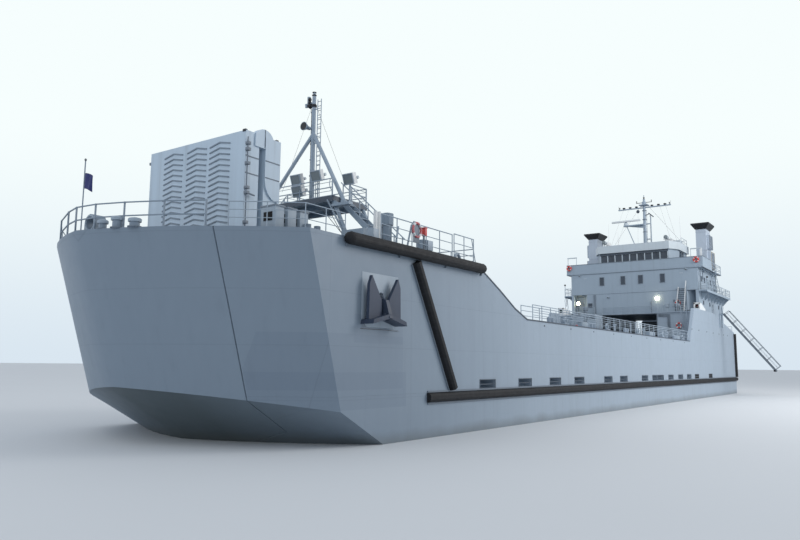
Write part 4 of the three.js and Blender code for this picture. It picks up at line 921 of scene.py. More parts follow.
def platform_gear():
    gear = Piece("fore_platform_gear", "house_paint", FRONT)
    edge, fore, aft = 257, 8175, 7855
    under = (PLATFORM - 33, PLATFORM - 3)
    for _ in gear.both_sides():
        gear.use(FRONT)
        for line in ([(8016, edge), (aft, edge), (aft, 0)], [(fore, edge), (fore, 0)]):
            for level in (27, 80):
                gear.tube([(x, y, PLATFORM + level) for x, y in line], 1.7)
        # Hooped ends of the rails at the forward corners
        hoop = [(fore + 26 * math.sin(turn), edge, PLATFORM + 66 + 38 * math.cos(turn))
                for turn in spread(0, math.pi, 7)]
        gear.tube(hoop, 2.4)
        gear.beam((8180, 225, PLATFORM - 25), (8150, 405, FORE_DECK + 60), 10, 8)
        gear.tube([(8160, 375, 1486), (8160, 375, 1585)], 5, 8)
        gear.use(SHADOW).box(7852, 8180, 261.6, 263.4, *under)
        gear.use(WIRE)
        for x0, x1 in ((8140, 8060), (8060, 8140)):
            gear.tube([(x0, 120, PLATFORM - 34), (x1, 420, FORE_DECK + 14)], 2)
    gear.use(SHADOW).box(8179.6, 8181.4, -261, 261, *under)
    gear.use(DECKING)
    for x in spread(7862, 8168, 27):
        gear.box(x - 1, x + 1, -250, 250, PLATFORM, PLATFORM + 1.6)
    gear.done()


# Side walls

PORTS = (7520, 7015, 6530, 6080, 5440, 5045, 4430, 4090, 3890, 3520, 3125, 2750, 2380, 1660)
# Ports of the casing, which drain a pipe and aren't open to the deck
BLIND_PORTS = PORTS[-2:]


def wall_gear(name, side):
    rails = Piece("wall_rails_" + name, "house_paint", FRONT, side=side)
    for y, bay in ((FORE_RAIL_Y, 149), (818, 297)):
        rail(rails, WALL_TOP, [(2700, y), (6860, y)], 106, bay)
    rails.done(replaces=["wall_rail_" + name])

    trim = Piece("side_trim_" + name, "hull_paint", PALE, side=side)
    for x in PORTS:
        trim.use(SHADOW).box(x - 91, x + 91, 903, 909, 461, 465.5)
        if x in BLIND_PORTS:
            trim.use(VOID).box(x - 93, x + 93, 914.4, 915.8, 441, 487)
            trim.use(SHADOW).box(x - 91, x + 91, 915, 916.6, 461, 465.5)
        for x0, x1, z0, z1 in border(x - 92.5, x + 92.5, 441, 487, 5, 4.5):
            trim.box(x0, x1, 914.6, 917, z0, z1)
    # Dark bar along the rise and the wall's top: painted shade of the edge's thickness
    line = [(2645, 916, 866), (6972, 916, 870), (7149, 916, 929), (7353, 916, 1026), (7600, 916, 1134)]
    trim.use(SHADOW)
    for first, last in zip(line, line[1:]):
        trim.beam(first, last, 4, 9)
    # Mounting flats beside the fenders
    trim.use(TRIM)
    for z in (376, 436):
        trim.box(6, 8166, 914.6, 921, z - 4, z + 4)
    start, end = Vector((7930, 918, 449)), Vector((8290, 918, 1086))
    aside = (end - start).normalized().cross(Y) * 32
    for off in (aside, -aside):
        trim.beam(start + off, end + off, 7, 8)
    for x in (7596, 7990, 8420, 8830):
        trim.box(x, x + 10, 914.8, 926, 1092, 1104)
    # Drain holes under the casing deck and along the wall
    trim.use(VOID)
    for x in (480, 760, 1040, 1400, 1760, 2180, 2520):
        trim.turned((x, 914, 1010), Y, ((0, 9), (2.2, 9), (2.6, 7)), 12)
    for x in spread(2900, 6700, 9):
        trim.turned((x, 914, 842), Y, ((0, 6), (2, 6), (2.4, 5)), 10)
    trim.done()

    top = Piece("wall_top_gear_" + name, "house_paint", FRONT, side=side)
    for x in (6250, 5350, 4500, 3650, 2850):
        top.box(x - 36, x + 36, 868, 898, WALL_TOP, WALL_TOP + 12)
        top.ring((x, 884, WALL_TOP + 32), Y, 24, 7, 18, 8)
    bitt = ((0, 14), (4, 14), (5, 8), (52, 8), (54, 15), (66, 16), (72, 6))
    for x in (6050, 5050, 4200, 3350):
        top.turned((x, 850, WALL_TOP), Z, bitt, 14)
    for x in (5800, 4000, 2960):
        locker(top, (x - 60, x + 60, 828, 868), WALL_TOP, WALL_TOP + 46)
    top.done(0.6)

    inner = Piece("wall_inner_gear_" + name, "hull_paint", FRONT, side=side)
    for x in spread(2740, 6840, 26):
        inner.box(x - 4, x + 4, 797, 805.5, CARGO_DECK + 70, WALL_TOP - 40)
    inner.box(2700, 6860, 792, 805.5, WALL_TOP - 44, WALL_TOP - 36)
    inner.use(TRIM)
    for z in (790, 806):
        inner.tube([(2720, 788, z), (6850, 788, z)], 4, 8)
    for x in spread(2800, 6780, 14):
        inner.box(x - 5, x + 5, 782, 806, 782, 786)
    for x in (3300, 4700, 6100):
        inner.use(RED).box(x - 26, x + 26, 786, 806, 620, 700)
        inner.use(FRONT).box(x + 60, x + 110, 784, 806, 610, 690)
    inner.done()


def deck_sockets():
    """Lashing sockets in rows on the cargo deck: a ring with a cross bar in each."""
    piece = Piece("deck_lashing_sockets", "deck_paint", DECKING)
    for x in spread(2800, 6800, 28):
        for y in spread(-720, 720, 11):
            centre = (x, y, CARGO_DECK + 2)
            piece.use(DECKING).turned(centre, Z, ((-0.5, 10), (1.6, 10), (2.0, 8.5)), 10)
            piece.use(TRIM).box(x - 8, x + 8, y - 1.3, y + 1.3, CARGO_DECK + 3.6, CARGO_DECK + 5)
    piece.done()
    lane = Piece("lane_plating", "deck_paint", DECKING)
    for y in (-300, -100, 100, 300):
        lane.box(420, 2680, y - 2, y + 2, CARGO_DECK - 0.5, CARGO_DECK + 2)
    for x in spread(7020, 8620, 9):
        lane.box(x - 3, x + 3, -380, 380, CARGO_DECK - 0.5, CARGO_DECK + 4)
    lane.done()


# Anchor pocket

def anchor_gear(name, side):
    gear = Piece("anchor_pocket_" + name, "hull_paint", PALE, side=side)
    x0, x1, z0, z1 = 8432, 8716, 742, 992
    chamfer = 36
    outline = ((x0 + chamfer, z0), (x1 - chamfer, z0), (x1, z0 + chamfer), (x1, z1),
               (x0, z1), (x0, z0 + chamfer))
    gear.use(FRONT).plate([(x, 914.5, z) for x, z in outline], Y * 2.2)
    gear.use(SHADOW).box(x0 - 6, x1 + 6, 914.6, 917.5, z0 - 12, z0 - 8)
    gear.use(FRONT).ring((8590, 918, 872), Y, 34, 10, 28, 10)
    gear.use(VOID).turned((8590, 914.8, 872), Y, ((0, 30), (2, 30), (2.4, 28)), 20)
    gear.use(ANCHOR)
    gear.turned((8590, 950, 800), Y, ((-16, 13), (16, 13), (19, 9)), 14)
    gear.ring((8590, 930, 886), X, 15, 5, 16, 8)
    gear.done(0.4)


# Stern casing, house and bridge

def casing_front(name, side):
    """What stands on the casing's front, inboard of the side."""
    x = CASING_FRONT
    gear = Piece("casing_front_" + name, "house_paint", TRIM, side=side)
    gear.box(x - 16, x - 10, 392, 398, 450, 1238)
    for way in (0, 12, 24):
        pipe = [(x - 8, 411, 1201 + way), (x - 8, 526 + way, 1196 + way), (x - 8, 526 + way, 874)]
        gear.tube(pipe, 4, 8)
    gear.use(FRONT).box(x - 15, x - 6, 560, 620, 940, 1000)
    ladder(gear, (x + 34, 742, WALL_TOP), (x + 6, 722, CASING_DECK + 70), 33, Y)
    rail(gear, CASING_DECK + 6, [(x, 410), (x, 640)], 95, 110)
    lifebuoy(gear, (x - 4, 660, 1081), X)
    gear.done()

    light = Piece("sidelight_" + name, "white_paint", WHITE, side=side)
    for y0, y1, z0, z1 in ((842, 858, 1284, 1354), (899, 914, 1284, 1354), (842, 914, 1338, 1357)):
        light.box(2046, 2064, y0, y1, z0, z1)
    light.use(VOID).box(2035.2, 2038, 857, 900, 1288, 1338)
    colour = RED if side > 0 else GREEN
    light.use(colour).turned((2040, 878, 1313), X, ((-2, 6), (4, 6), (6, 4)), 12)
    light.done(0.6)


HOUSE_WINDOWS = (-403, -114, 120, 403)


def lit_lamp(piece, centre, out):
    """A bulkhead lamp that is lit: base, glowing glass and a wire guard."""
    centre = Vector(centre)
    piece.use(FRONT).turned(centre, out, ((-1, 19), (6, 19), (8, 15)), 16)
    piece.use(WARM).turned(centre, out, ((8, 22), (18, 26), (30, 22), (37, 9)), 16)
    piece.use(TRIM).ring(centre + out * 12, out, 28, 1.3, 20, 6)
    for turn in (0.3, 1.87):
        across = out.cross(Z) * math.cos(turn) + Z * math.sin(turn)
        arc = [centre + out * (8 + 32 * math.sin(bend)) + across * 28 * math.cos(bend)
               for bend in spread(0, math.pi, 9)]
        piece.tube(arc, 1.2)


def small_lamp(piece, centre, out):
    """A lamp on a short arm, tipped down, that isn't lit."""
    centre = Vector(centre)
    piece.use(FRONT).beam(centre - out * 2, centre + out * 16, 6, 6)
    head = centre + out * 16 + Z * 6
    piece.turned(head, out - Z * 0.8, ((-8, 8), (0, 14), (10, 14), (11, 12)), 14)
    piece.use(LENS).turned(head, out - Z * 0.8, ((11, 11), (12.5, 9)), 14)


def house_front():
    x = HOUSE_FRONT
    gear = Piece("house_front_gear", "house_paint", FRONT)
    for y in HOUSE_WINDOWS:
        framed_pane(gear, (x, y, 1720), X, 55, 108)
    framed_pane(gear, (x, -576, 1398), X, 54, 54)
    gear.use(TRIM)
    for out, z0, z1 in ((2, 1546, 1550), (5, 1828, 1834)):
        gear.box(x - 1, x + out, -HOUSE_HALF, HOUSE_HALF, z0, z1)
    # Inclined ladder with white stringers, one of them long
    foot, top = Vector((x + 26, 610, 1285)), Vector((x + 16, 648, 1590))
    ladder(gear.use(SHADOW), foot, top, 44, Y, 24, 4, 3.4)
    gear.use(WHITE).beam(foot - Y * 47 - Z * 6, top - Y * 47, 9, 12)
    gear.beam(foot + Y * 47 - Z * 26, top + Y * 47 + Z * 76, 9, 12)
    gear.use(TRIM)
    for level in (0.1, 0.92):
        for off in (-47, 47):
            gear.tube([(x - 1, foot.y + off, foot.z + 300 * level), foot.lerp(top, level) + Y * off], 3)
    lifebuoy(gear, (x + 7, 584, 1388), X, 30, 7)
    gear.box(x - 1, x + 12, 528, 546, 1400, 1432)
    for y, z in ((-318, 1494), (-715, 1812), (700, 1812)):
        small_lamp(gear, (x, y, z), X)
    gear.use(PALE)
    for y in (-640, 640):
        gear.box(x - 1, x + 5, y - 20, y + 20, 1768, 1774)
    # Ledge with its rail above the lane
    gear.use(FRONT).box(x - 1, x + 40, -402, 402, 1258, 1266)
    rail(gear, 1266, [(x + 34, -396), (x + 34, 396)], 92, 132)
    gear.use(SHADOW).box(x - 30, x + 2, -399, 399, 1246, 1262)
    # Pipes and boxes on the lower front
    gear.use(TRIM)
    for y, z0, z1 in ((-520, 1266, 1540), (-500, 1266, 1540), (250, 1266, 1420), (690, 1260, 1540)):
        gear.tube([(x + 6, y, z0), (x + 6, y, z1)], 4, 8)
    gear.use(FRONT).box(x - 1, x + 14, 430, 470, 1340, 1390)
    door(gear, (1640, -752, 1358), X, 70, 176, False)
    gear.done()
    lamps = Piece("lit_lamps", "white_paint", FRONT)
    lamps.box(1712, 1724, -807, -745, 1427, 1439)
    lit_lamp(lamps, (1722, -753, 1433), X)
    lit_lamp(lamps, (x, 329, 1455), X)
    lamps.done()


def house_sides(name, side):
    gear = Piece("house_side_gear_" + name, "house_paint", FRONT, side=side)
    y = HOUSE_HALF
    for x, z in ((1240, 1642), (820, 1642), (980, 1350)):
        door(gear, (x, y, z), Y)
    for x in (1560, 1400, 1050):
        framed_pane(gear, (x, y, 1700), Y, 50, 62)
    for x in (1510, 1150, 600):
        framed_pane(gear, (x, y, 1398), Y, 44, 44)
    # Round ventilator and pipes on the upper side
    gear.use(FRONT).turned((1690, y, 1760), Y, ((0, 24), (10, 24), (14, 18)), 18)
    gear.use(SHADOW).turned((1690, y + 14, 1760), Y, ((0, 15), (1, 15)), 18)
    gear.use(TRIM)
    for x, z0, z1 in ((1640, 1550, 1836), (1500, 1700, 1836), (720, 1550, 1836)):
        gear.tube([(x, y + 6, z0), (x, y + 6, z1)], 4, 8)
    ladder(gear.use(FRONT), (900, y + 60, 1546), (1075, y + 42, 1862), 32, Y, 22)
    for x in (1460, 940):
        small_lamp(gear, (x, y, 1800), Y)
    gear.done()

    walk = Piece("walkway_gear_" + name, "house_paint", FRONT, side=side)
    edge, deck = 939, 1543
    for level in (27, 80):
        line = ((305, 851), (305, edge), (1751, edge), (1751, 851))
        walk.tube([(x, y, deck + level) for x, y in line], 1.7)
    for x in spread(420, 1640, 10):
        walk.tube([(x, edge, deck), (x, edge, deck + 105)], 2.2)
    walk.tube([(1735, 944, 1545), (1735, 944, 1690)], 4, 8)
    walk.use(SHADOW)
    for x in spread(310, 1746, 90):
        walk.box(x - 1.2, x + 1.2, 846, 928, deck + 1, deck + 3.4)
    walk.use(TRIM).tube([(1700, 938, 1400), (1700, 938, 1532)], 4, 8)
    walk.use(BLACK).turned((1735, 944, 1690), Z, ((0, 7), (4, 12), (18, 12), (22, 7)), 12)
    if side < 0:
        walk.use(FRONT)
        for x in (1742, 1650):
            hose = ((934, 1532), (948, 1480), (938, 1400), (948, 1340), (910, 1272))
            walk.tube([(x, y, z) for y, z in hose], 3.4, 8)
        # The buoy's bands don't mirror, so it is given where it lies
        walk.side = 1
        lifebuoy(walk, (1756, -950, 1343), X, 25, 6, 0)
    walk.done()


def life_raft(piece, centre):
    """A canister in its cradle, lying along the ship."""
    centre = Vector(centre)
    shell = ((-68, 20), (-64, 30), (-2, 31), (0, 33), (2, 31), (64, 30), (68, 20))
    piece.use(WHITE).turned(centre, X, shell, 20)
    piece.use(TRIM)
    for x in (-40, 40):
        at = centre + X * x
        piece.ring(at, X, 31.5, 1.6, 24, 6)
        piece.beam(at - Y * 32 - Z * 46, at + Y * 32 - Z * 46, 5, 5)
        for y in (-26, 26):
            piece.beam(at + Y * y - Z * 46, at + Y * y - Z * 16, 5, 5)


# Portal frames at the wings' ends: outer and inner post, to port and to starboard
PORTALS = {1: (884, 758), -1: (895, 770)}


def bridge_gear():
    x = HOUSE_FRONT
    gear = Piece("bridge_gear", "house_paint", TRIM)
    gear.box(x - 16, x + 3, -BRIDGE_HALF, BRIDGE_HALF, BULWARK_TOP - 3, BULWARK_TOP + 4)
    repeater = ((0, 16), (5, 16), (7, 9), (96, 9), (98, 20), (116, 22), (120, 14))
    for side in gear.both_sides():
        gear.use(TRIM).box(1228, x, 890, 907, BULWARK_TOP - 3, BULWARK_TOP + 4)
        gear.use(SHADOW).box(656, x + 4, 880, 906, 1832, 1836.2)
        outer, inner = PORTALS[side]
        posts = ((outer, BULWARK_TOP), (outer, 2078), (inner, 2078), (inner, BRIDGE_DECK))
        gear.use(PALE).tube([(x - 30, y, z) for y, z in posts], 5, 8)
        gear.box(x - 40, x - 20, inner - 5, outer + 5, 2074, 2086)
        # Repeater stand, life raft and locker on the wing
        gear.use(FRONT).turned((1500, 800, BRIDGE_DECK), Z, repeater, 16)
        life_raft(gear, (820, 560, BRIDGE_DECK + 48))
        locker(gear, (1120, 1190, 760, 830), BRIDGE_DECK, BRIDGE_DECK + 70)
    gear.use(WHITE).box(x - 34, x - 26, 870, 896, 1860, 2076)
    for y in (828, -866):
        lifebuoy(gear, (x + 11, y, 1930), X, 28, 11, 0)
    gear.use(FRONT)
    for level in (27, 95):
        line = ((1230, 899), (655, 899), (655, -899), (1230, -899))
        gear.tube([(a, b, BRIDGE_DECK + level) for a, b in line], 1.7)
    gear.done()


SIDE_PANES = ((1300, 1400), (1195, 1285))
FRONT_PANES = 9
PANE_PITCH = (2 * 462 - 20) / FRONT_PANES


def wheelhouse_glass():
    glass = Piece("wheelhouse_glass", "black_paint", GLASS)
    for i in range(FRONT_PANES):
        y = (i - (FRONT_PANES - 1) / 2) * PANE_PITCH
        glass.use(GLASS).box(1628, 1631, y - 45, y + 45, 1980, 2108)
        glass.use(SHADOW).box(1636, 1642, y - 45, y + 45, 1977, 1982)
        glass.box(1636, 1642, y - 45, y + 45, 2106, 2111)
        if i % 2:
            glass.use(BLACK).beam((1643, y - 20, 2104), (1643, y + 12, 2030), 2.4, 2)
            glass.beam((1643, y + 4, 2046), (1643, y + 20, 2014), 3, 2)
    glass.use(GLASS)
    for _ in glass.both_sides():
        for x0, x1 in SIDE_PANES:
            glass.box(x0 - 3, x1 + 3, 530, 533, 1979, 2109)
    glass.done()

    trim = Piece("wheelhouse_trim", "white_paint", PALE)
    for i in range(FRONT_PANES + 1):
        y = (i - FRONT_PANES / 2) * PANE_PITCH
        trim.box(1638, 1645, y - 4, y + 4, 1980, 2088)
    trim.use(SHADOW).box(1640, 1646, -458, 458, 2086, 2119)
    trim.use(TRIM).box(1640, 1644, -462, 462, 1968, 1976)
    for _ in trim.both_sides():
        for x0, x1 in SIDE_PANES:
            for a0, a1, b0, b1 in border(x0, x1, 1982, 2106, 5):
                trim.use(TRIM).box(a0, a1, 540, 547, b0, b1)
        door(trim, (1142.5, 536, 1987), Y, 64, 236)
    trim.done(0.4)

    inside = Piece("wheelhouse_console", "deck_paint", SHADOW)
    floor_level = BRIDGE_DECK + 14
    inside.box(1520, 1590, -380, 380, floor_level, 1965)
    inside.use(TRIM).box(1512, 1596, -384, 384, 1962, 1970)
    inside.box(1040, 1052, -518, 518, floor_level, 2100)
    inside.use(BLACK)
    for y in (-240, 0, 240):
        inside.box(1528, 1560, y - 44, y + 44, 1970, 2012)
    inside.use(SHADOW)
    for y in (-120, 120):
        inside.box(1400, 1440, y - 26, y + 26, 1910, 1930)
        inside.box(1394, 1402, y - 26, y + 26, 1925, 2006)
        inside.turned((1420, y, floor_level), Z, ((0, 18), (6, 18), (8, 7), (52, 7)), 12)
    inside.done(0.8)


def roof_gear():
    gear = Piece("roof_gear", "white_paint", LENS)
    for _ in gear.both_sides():
        gear.use(LENS).turned((1590, 420, 2288), X, ((-1, 23), (1, 23), (2, 20)), 20)
        gear.use(TRIM).ring((1589, 420, 2288), X, 25, 2.4, 24, 6)
        gear.tube([(1560, 390, 2288), (1560, 390, 2256), (1560, 450, 2256), (1560, 450, 2288)], 2.6)
    line = ((1300, 548), (1004, 548), (1004, -548), (1300, -548))
    rail(gear.use(FRONT), ROOF, line, 88, 150, (0.5, 1.0), 2.4, 1.8)
    locker(gear, (1100, 1240, 322, 412), ROOF - 1, ROOF + 92, 4, 6, (WHITE, WHITE))
    gear.turned((1250, -470, ROOF), Z, ((0, 10), (70, 10), (72, 30), (96, 34), (122, 24), (134, 8)), 20)
    gear.turned((1180, 330, ROOF), Z, ((0, 8), (40, 8), (42, 20), (60, 22), (76, 12), (80, 4)), 18)
    locker(gear, (1130, 1210, -180, -60), ROOF - 1, ROOF + 46)
    gear.use(WHITE)
    for x, y, height in ((1320, 150, 330), (1130, 500, 420), (1130, -500, 420), (1480, -250, 210)):
        gear.turned((x, y, ROOF), Z, ((0, 8), (10, 8), (12, 4), (60, 3), (height, 1.4)), 8)
    gear.done()


def stack_gear(name, side):
    gear = Piece("stack_gear_" + name, "house_paint", TRIM, side=side)
    for x0, x1, z0, z1, y, rim in ((855, 1049, 2178, 2352, 851, TRIM), (845, 1029, 1898, 2122, 866, TAN)):
        gear.use(TRIM)
        for i in range(int((z1 - z0) / 12)):
            z = z0 + 6 + i * 12
            gear.beam((x0, y + 1.5, z), (x1, y + 1.5, z), 4, 6)
        gear.use(rim)
        for a0, a1, b0, b1 in ((x0 - 4, x1 + 4, z1, z1 + 5), (x0 - 4, x1 + 4, z0 - 5, z0),
                               (x0 - 5, x0, z0, z1), (x1, x1 + 5, z0, z1)):
            gear.box(a0, a1, y - 1, y + 5, b0, b1)
    gear.use(LIGHT)
    for z in (2148, 2400):
        for x0, x1, y0, y1 in ((835, 1089, 688, 690.5), (835, 1089, 820.5, 823),
                               (834.5, 837.5, 688, 823), (1086.5, 1089.5, 688, 823)):
            gear.box(x0, x1, y0, y1, z - 3, z + 3)
    ladder(gear.use(FRONT), (826, 755, BRIDGE_DECK + 30), (826, 755, 2420), 24, Y, 30)
    for z in (1960, 2180, 2390):
        for y in (731, 779):
            gear.box(826, 838, y - 2, y + 2, z - 3, z + 3)
    gear.done()
    pipes = Piece("exhausts_" + name, "black_paint", BLACK, side=side)
    mouth = ((0, 34), (72, 34), (78, 36), (84, 36), (84.5, 30), (60, 30))
    for x in (908, 1016):
        pipes.use(BLACK).turned((x, 755, 2450), Z, mouth, 20)
        pipes.use(VOID).turned((x, 755, 2500), Z, ((0, 29), (14, 29)), 20)
    pipes.done()


def main_mast_gear():
    gear = Piece("main_mast_gear", "black_paint", BLACK)
    x, yard = 1049, 2838
    for _ in gear.both_sides():
        gear.use(BLACK)
        for y in (110, 200, 290):
            gear.turned((x, y, yard + 7), Z, ((0, 12), (5, 12), (7, 20), (20, 20), (24, 10)), 14)
        gear.turned((x, 352, yard + 6), Z, ((0, 6), (22, 6), (24, 9), (32, 9), (34, 4)), 12)
        gear.use(WIRE).tube([(x, 368, yard + 4), (x, 368, yard + 60)], 1.6)
        for start, end, thick in (((x, 300, yard - 5), (1180, 480, ROOF), 0.9),
                                  ((x, 220, yard - 5), (1140, 400, ROOF), 0.9),
                                  ((x, 0, 2930), (1010, 540, ROOF), 1.2)):
            gear.tube([start, end], thick, 4)
    gear.use(SHADOW).turned((x, -90, 2790), Z, ((-24, 6), (-18, 17), (0, 24), (18, 17), (24, 6)), 18)
    gear.beam((x + 6, 60, 2750), (x + 6, 128, 2690), 16, 14)
    gear.beam((x + 10, 20, 2720), (x + 10, 80, 2742), 9, 9)
    gear.use(WIRE).tube([(x, -90, 2812), (x, -90, yard)], 1.4)
    gear.tube([(x, -90, 2768), (1110, -90, ROOF)], 0.9, 4)
    gear.use(BLACK).beam((x, -110, 2912), (x, 110, 2912), 7, 7)
    for y in (-104, 104):
        gear.turned((x, y, 2914), Z, ((0, 5), (18, 5), (20, 8), (28, 6)), 12)
    top = ((0, 14), (5, 14), (6, 8), (20, 8), (22, 12), (30, 12), (33, 5))
    gear.turned((x, 0, 2958), Z, top, 14)
    gear.use(WHITE).turned((1022, 78, 2700), Z, ((0, 7), (10, 13), (24, 13), (30, 6)), 14)
    gear.use(PALE).turned((1089, -255, 2583), Z, ((0, 22), (8, 30), (44, 30), (50, 22)), 18)
    gear.use(FRONT)
    for z in spread(2250, 2800, 20):
        gear.tube([(x - 30, -24, z), (x - 30, 24, z)], 1.9)
    for y in (-24, 24):
        gear.tube([(x - 30, y, 2230), (x - 30, y, 2810)], 2.4)
    gear.use(TRIM)
    for z in (2300, 2480, 2660, 2790):
        gear.turned((x, 0, z), Z, ((0, 30), (8, 30)), 16)
    gear.done()
    scanner = Piece("radar_gear", "white_paint", WHITE, "radar")
    section = ((1077, 2646), (1101, 2646), (1104, 2658), (1098, 2668), (1080, 2668), (1074, 2658))
    scanner.plate([(a, -458, b) for a, b in section], Y * 406)
    scanner.use(TRIM).turned((1089, -255, 2634), Z, ((0, 9), (10, 16), (14, 16)), 14)
    scanner.done(0.8)


# Stern

def casing_top(name, side):
    gear = Piece("casing_top_gear_" + name, "house_paint", FRONT, side=side)
    rail(gear, AFT_DECK, [(6, 420), (6, 890)], 110, 130)
    rail(gear, AFT_DECK, [(20, 406), (300, 406)], 106, 140)
    bollard = ((0, 15), (42, 15), (43, 19), (50, 19), (52, 15))
    for x, y in ((120, 820), (560, 870), (1180, 870)):
        gear.use(TRIM).box(x - 62, x + 62, y - 22, y + 22, AFT_DECK - 1, AFT_DECK + 5)
        for off in (-31, 31):
            gear.use(FRONT).turned((x + off, y, AFT_DECK), Z, bollard, 14)
    capstan = ((0, 44), (10, 44), (12, 30), (34, 24), (58, 34), (64, 36), (70, 28))
    gear.turned((200, 640, AFT_DECK), Z, capstan, 20)
    gear.use(TRIM).box(140, 260, 580, 700, AFT_DECK - 1, AFT_DECK + 8)
    vent = ((0, 26), (70, 26), (72, 38), (104, 40), (116, 30), (120, 12))
    gear.turned((1880, 600, CASING_DECK), Z, vent, 20)
    locker(gear, (1820, 1900, 700, 800), CASING_DECK, CASING_DECK + 30, 6, 6, (DECKING, FRONT))
    # Stays of the raised bulwark
    gear.use(TRIM)
    for x in spread(80, 1280, 9):
        top = 1068 + 0.14 * min(x, 926)
        gear.plate([(x, 901, AFT_DECK), (x, 861, AFT_DECK), (x, 901, top)], X * 5)
    gear.done(0.5)


def house_back():
    """Doors, windows, ladders and lockers on the house's after face."""
    gear = Piece("house_back_gear", "house_paint", FRONT)
    lower, upper, wheelhouse = 300, 690, 1010
    for y in (-560, 560):
        door(gear, (lower, y, 1366), -X)
    door(gear, (upper, 0, 1642), -X)
    for y in (-340, 340):
        door(gear, (wheelhouse, y, 1968), -X, 70, 200)
    for y in (-250, 0, 250):
        framed_pane(gear, (lower, y, 1410), -X, 60, 60)
    for y in (-620, -300, 300, 620):
        framed_pane(gear, (upper, y, 1700), -X, 60, 70)
    framed_pane(gear, (wheelhouse, 0, 2040), -X, 200, 90)
    rail(gear.use(FRONT), 1550, [(308, 831), (308, -831)], 106, 150)
    ladder(gear, (606, 450, 1550), (652, 450, 1870), 34, Y, 24)
    ladder(gear, (240, -430, AFT_DECK), (296, -430, 1560), 34, Y, 24)
    for y in (-460, -200, 200):
        locker(gear, (420, 520, y - 50, y + 50), 1550, 1610)
    for y in (-700, 700):
        small_lamp(gear, (upper, y * 0.98, 1800), -X)
        small_lamp(gear, (lower, y * 0.9, 1500), -X)
    lifebuoy(gear, (296, 420, 1420), -X)
    gear.done()


def stern_gear():
    gear = Piece("stern_ramp_gear", "house_paint", TRIM, "stern_gate")
    for y in spread(-255, 255, 4):
        gear.box(7, 20.5, y - 4, y + 4, 500, 1230)
    for z in (640, 820, 1000, 1180):
        gear.box(6, 20.5, -372, 372, z - 5, z + 5)
    for _ in gear.both_sides():
        gear.turned((46, 380, 1100), Y, ((-2, 14), (8, 14), (10, 9)), 14)
    # Bars across the driven face, and a coaming along the ramp's free edge
    gear.use(SHADOW)
    for z in spread(500, 1230, 21):
        gear.box(STERN_RAMP_FACE, STERN_RAMP_FACE + 3.5, -350, 350, z - 3, z + 3)
    gear.use(STERN_RAMP).box(60, 68, -372, 372, 1255, 1292)
    gear.done(0.5)


def ladder_gear():
    """Rope rails, rollers and tread edges of the accommodation ladder, and the davit on deck."""
    x, length = 905, 975
    slope = math.radians(-51.8)
    way = Vector((0, math.cos(slope), math.sin(slope)))
    up = Vector((0, -math.sin(slope), math.cos(slope)))
    hinge = Vector((x, 952, 1292))
    piece = Piece("accommodation_ladder_gear", "white_paint", ALLOY, "ladder")
    for out in (-X, X):
        edge = hinge + out * 45
        piece.use(ALLOY).tube([edge + way * 24 + up * 42, edge + way * (length - 24) + up * 42], 1.8)
        roller = edge + way * (length - 14) - up * 6
        piece.use(RUBBER).turned(roller, out, ((0, 13), (10, 13), (11, 9)), 14)
    piece.use(ALLOY)
    for along in spread(30, length - 30, 18):
        tread = hinge + way * (along + 6) + up * 1.5
        piece.beam(tread - X * 44, tread + X * 44, 2, 2.4)
    piece.done()
    davit = Piece("ladder_davit", "house_paint", FRONT)
    for end in (x - 66, x + 66):
        davit.use(FRONT).tube([(end, 922, 1276), (end, 930, 1400), (end, 960, 1420)], 4, 8)
        davit.use(WIRE).tube([(end, 958, 1419), (end, 929, 1286)], 1.0, 4)
    rail(davit.use(FRONT), 1284, [(x - 70, 922), (x - 70, 930)], 100, 60, (0.5, 1.0), 2.4, 1.8)
    davit.done()


# Stage, light and camera

# Where the photo was taken from, fitted to the craft's edges: metres, degrees, millimetres
CAMERA = {"place": (6.4527, 2.9091, 0.5738), "yaw": 35.252, "pitch": 7.558, "roll": 0.534, "lens": 31.93}
SENSOR = 36


def camera():
    yaw, pitch, roll = (math.radians(CAMERA[key]) for key in ("yaw", "pitch", "roll"))
    ahead = Vector((-math.cos(yaw) * math.cos(pitch), -math.sin(yaw) * math.cos(pitch), math.sin(pitch)))
    right = ahead.cross(Z).normalized()
    up = right.cross(ahead)
    across = right * math.cos(roll) + up * math.sin(roll)
    upright = up * math.cos(roll) - right * math.sin(roll)
    data = bpy.data.cameras.new("camera")
    data.lens = CAMERA["lens"]
    data.sensor_width = SENSOR
    data.clip_end = 400
    made = new_object("camera", data)
    basis = Matrix((across, upright, -ahead)).transposed().to_4x4()
    made.matrix_world = Matrix.Translation(CAMERA["place"]) @ basis
    bpy.context.scene.camera = made


def floor():
    disc = bmesh.new()
    bmesh.ops.create_circle(disc, cap_ends=True, radius=120, segments=96)
    data = mesh_data("studio_floor", disc)
    made = new_object("studio_floor", data)
    made.location = (0, 0, WATERLINE * MM)
    finish = Finish("studio_floor", srgb(205, 209, 213), roughness=0.75)
    finish.shade(finish.noise(0.6, 4), 0.015)
    data.materials.append(finish.done())


KEY = {"place": (-2.2, 6.5, 4.2), "aim": (-1.6, 0.9, 0.7), "size": 4.0, "power": 380,
       "tone": (1.0, 0.98, 0.955)}
SKY = {"seen": srgb(246, 254, 254), "low": srgb(216, 229, 240), "haze": (-0.04, 0.3),
       "cast": srgb(240, 247, 255), "level": 0.82, "slope": (0.36, -0.26, 0)}


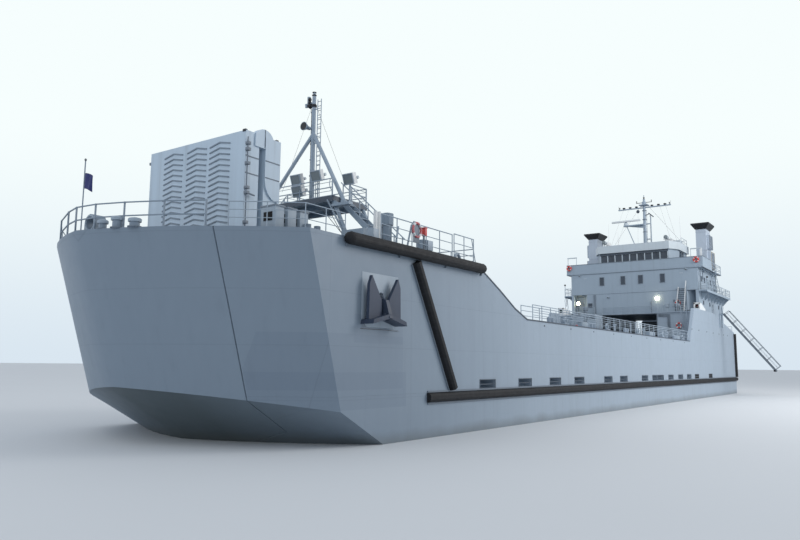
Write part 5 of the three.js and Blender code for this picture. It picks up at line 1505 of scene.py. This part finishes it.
def light():
    """An overcast sky that is brighter ahead than abeam, and a wide lamp off the port quarter."""
    scene = bpy.context.scene
    scene.view_settings.view_transform = "Standard"
    world = bpy.data.worlds.new("studio")
    world.use_nodes = True
    world.node_tree.nodes.clear()

    def add(kind, inputs=None, **settings):
        return add_node(world.node_tree, kind, inputs, **settings).outputs

    way = add("ShaderNodeTexCoord")["Generated"]
    slope = add("ShaderNodeVectorMath", {0: way, 1: SKY["slope"]}, operation="DOT_PRODUCT")["Value"]
    level = add("ShaderNodeMath", {0: slope, 1: SKY["level"]})[0]
    cast = add("ShaderNodeBackground", {"Color": SKY["cast"], "Strength": level})[0]
    low, high = SKY["haze"]
    rise = {"Value": add("ShaderNodeSeparateXYZ", {0: way})[2], "From Min": low, "From Max": high}
    clear = add("ShaderNodeMapRange", rise, interpolation_type="SMOOTHSTEP")[0]
    tone = add("ShaderNodeMix", {0: clear, 6: SKY["low"], 7: SKY["seen"]}, data_type="RGBA")[2]
    seen = add("ShaderNodeBackground", {"Color": tone})[0]
    ray = add("ShaderNodeLightPath")["Is Camera Ray"]
    either = add("ShaderNodeMixShader", {0: ray, 1: cast, 2: seen})[0]
    add("ShaderNodeOutputWorld", {"Surface": either})
    scene.world = world
    data = bpy.data.lights.new("key", "AREA")
    data.size = KEY["size"]
    data.energy = KEY["power"]
    data.color = KEY["tone"]
    lamp = new_object("key", data)
    lamp.location = KEY["place"]
    away = Vector(KEY["place"]) - Vector(KEY["aim"])
    lamp.rotation_euler = away.to_track_quat("Z", "Y").to_euler()


camera()
dress_nodes()
ramp_gear()
jack()
visor_gear()
hinge_gear()
foremast_gear()
platform_gear()
deck_sockets()
house_front()
bridge_gear()
wheelhouse_glass()
roof_gear()
main_mast_gear()
house_back()
stern_gear()
ladder_gear()
for label, way in SIDES:
    forecastle_gear(label, way)
    windlass_gear(label, way)
    wall_gear(label, way)
    anchor_gear(label, way)
    casing_front(label, way)
    casing_top(label, way)
    house_sides(label, way)
    stack_gear(label, way)
floor()
light()
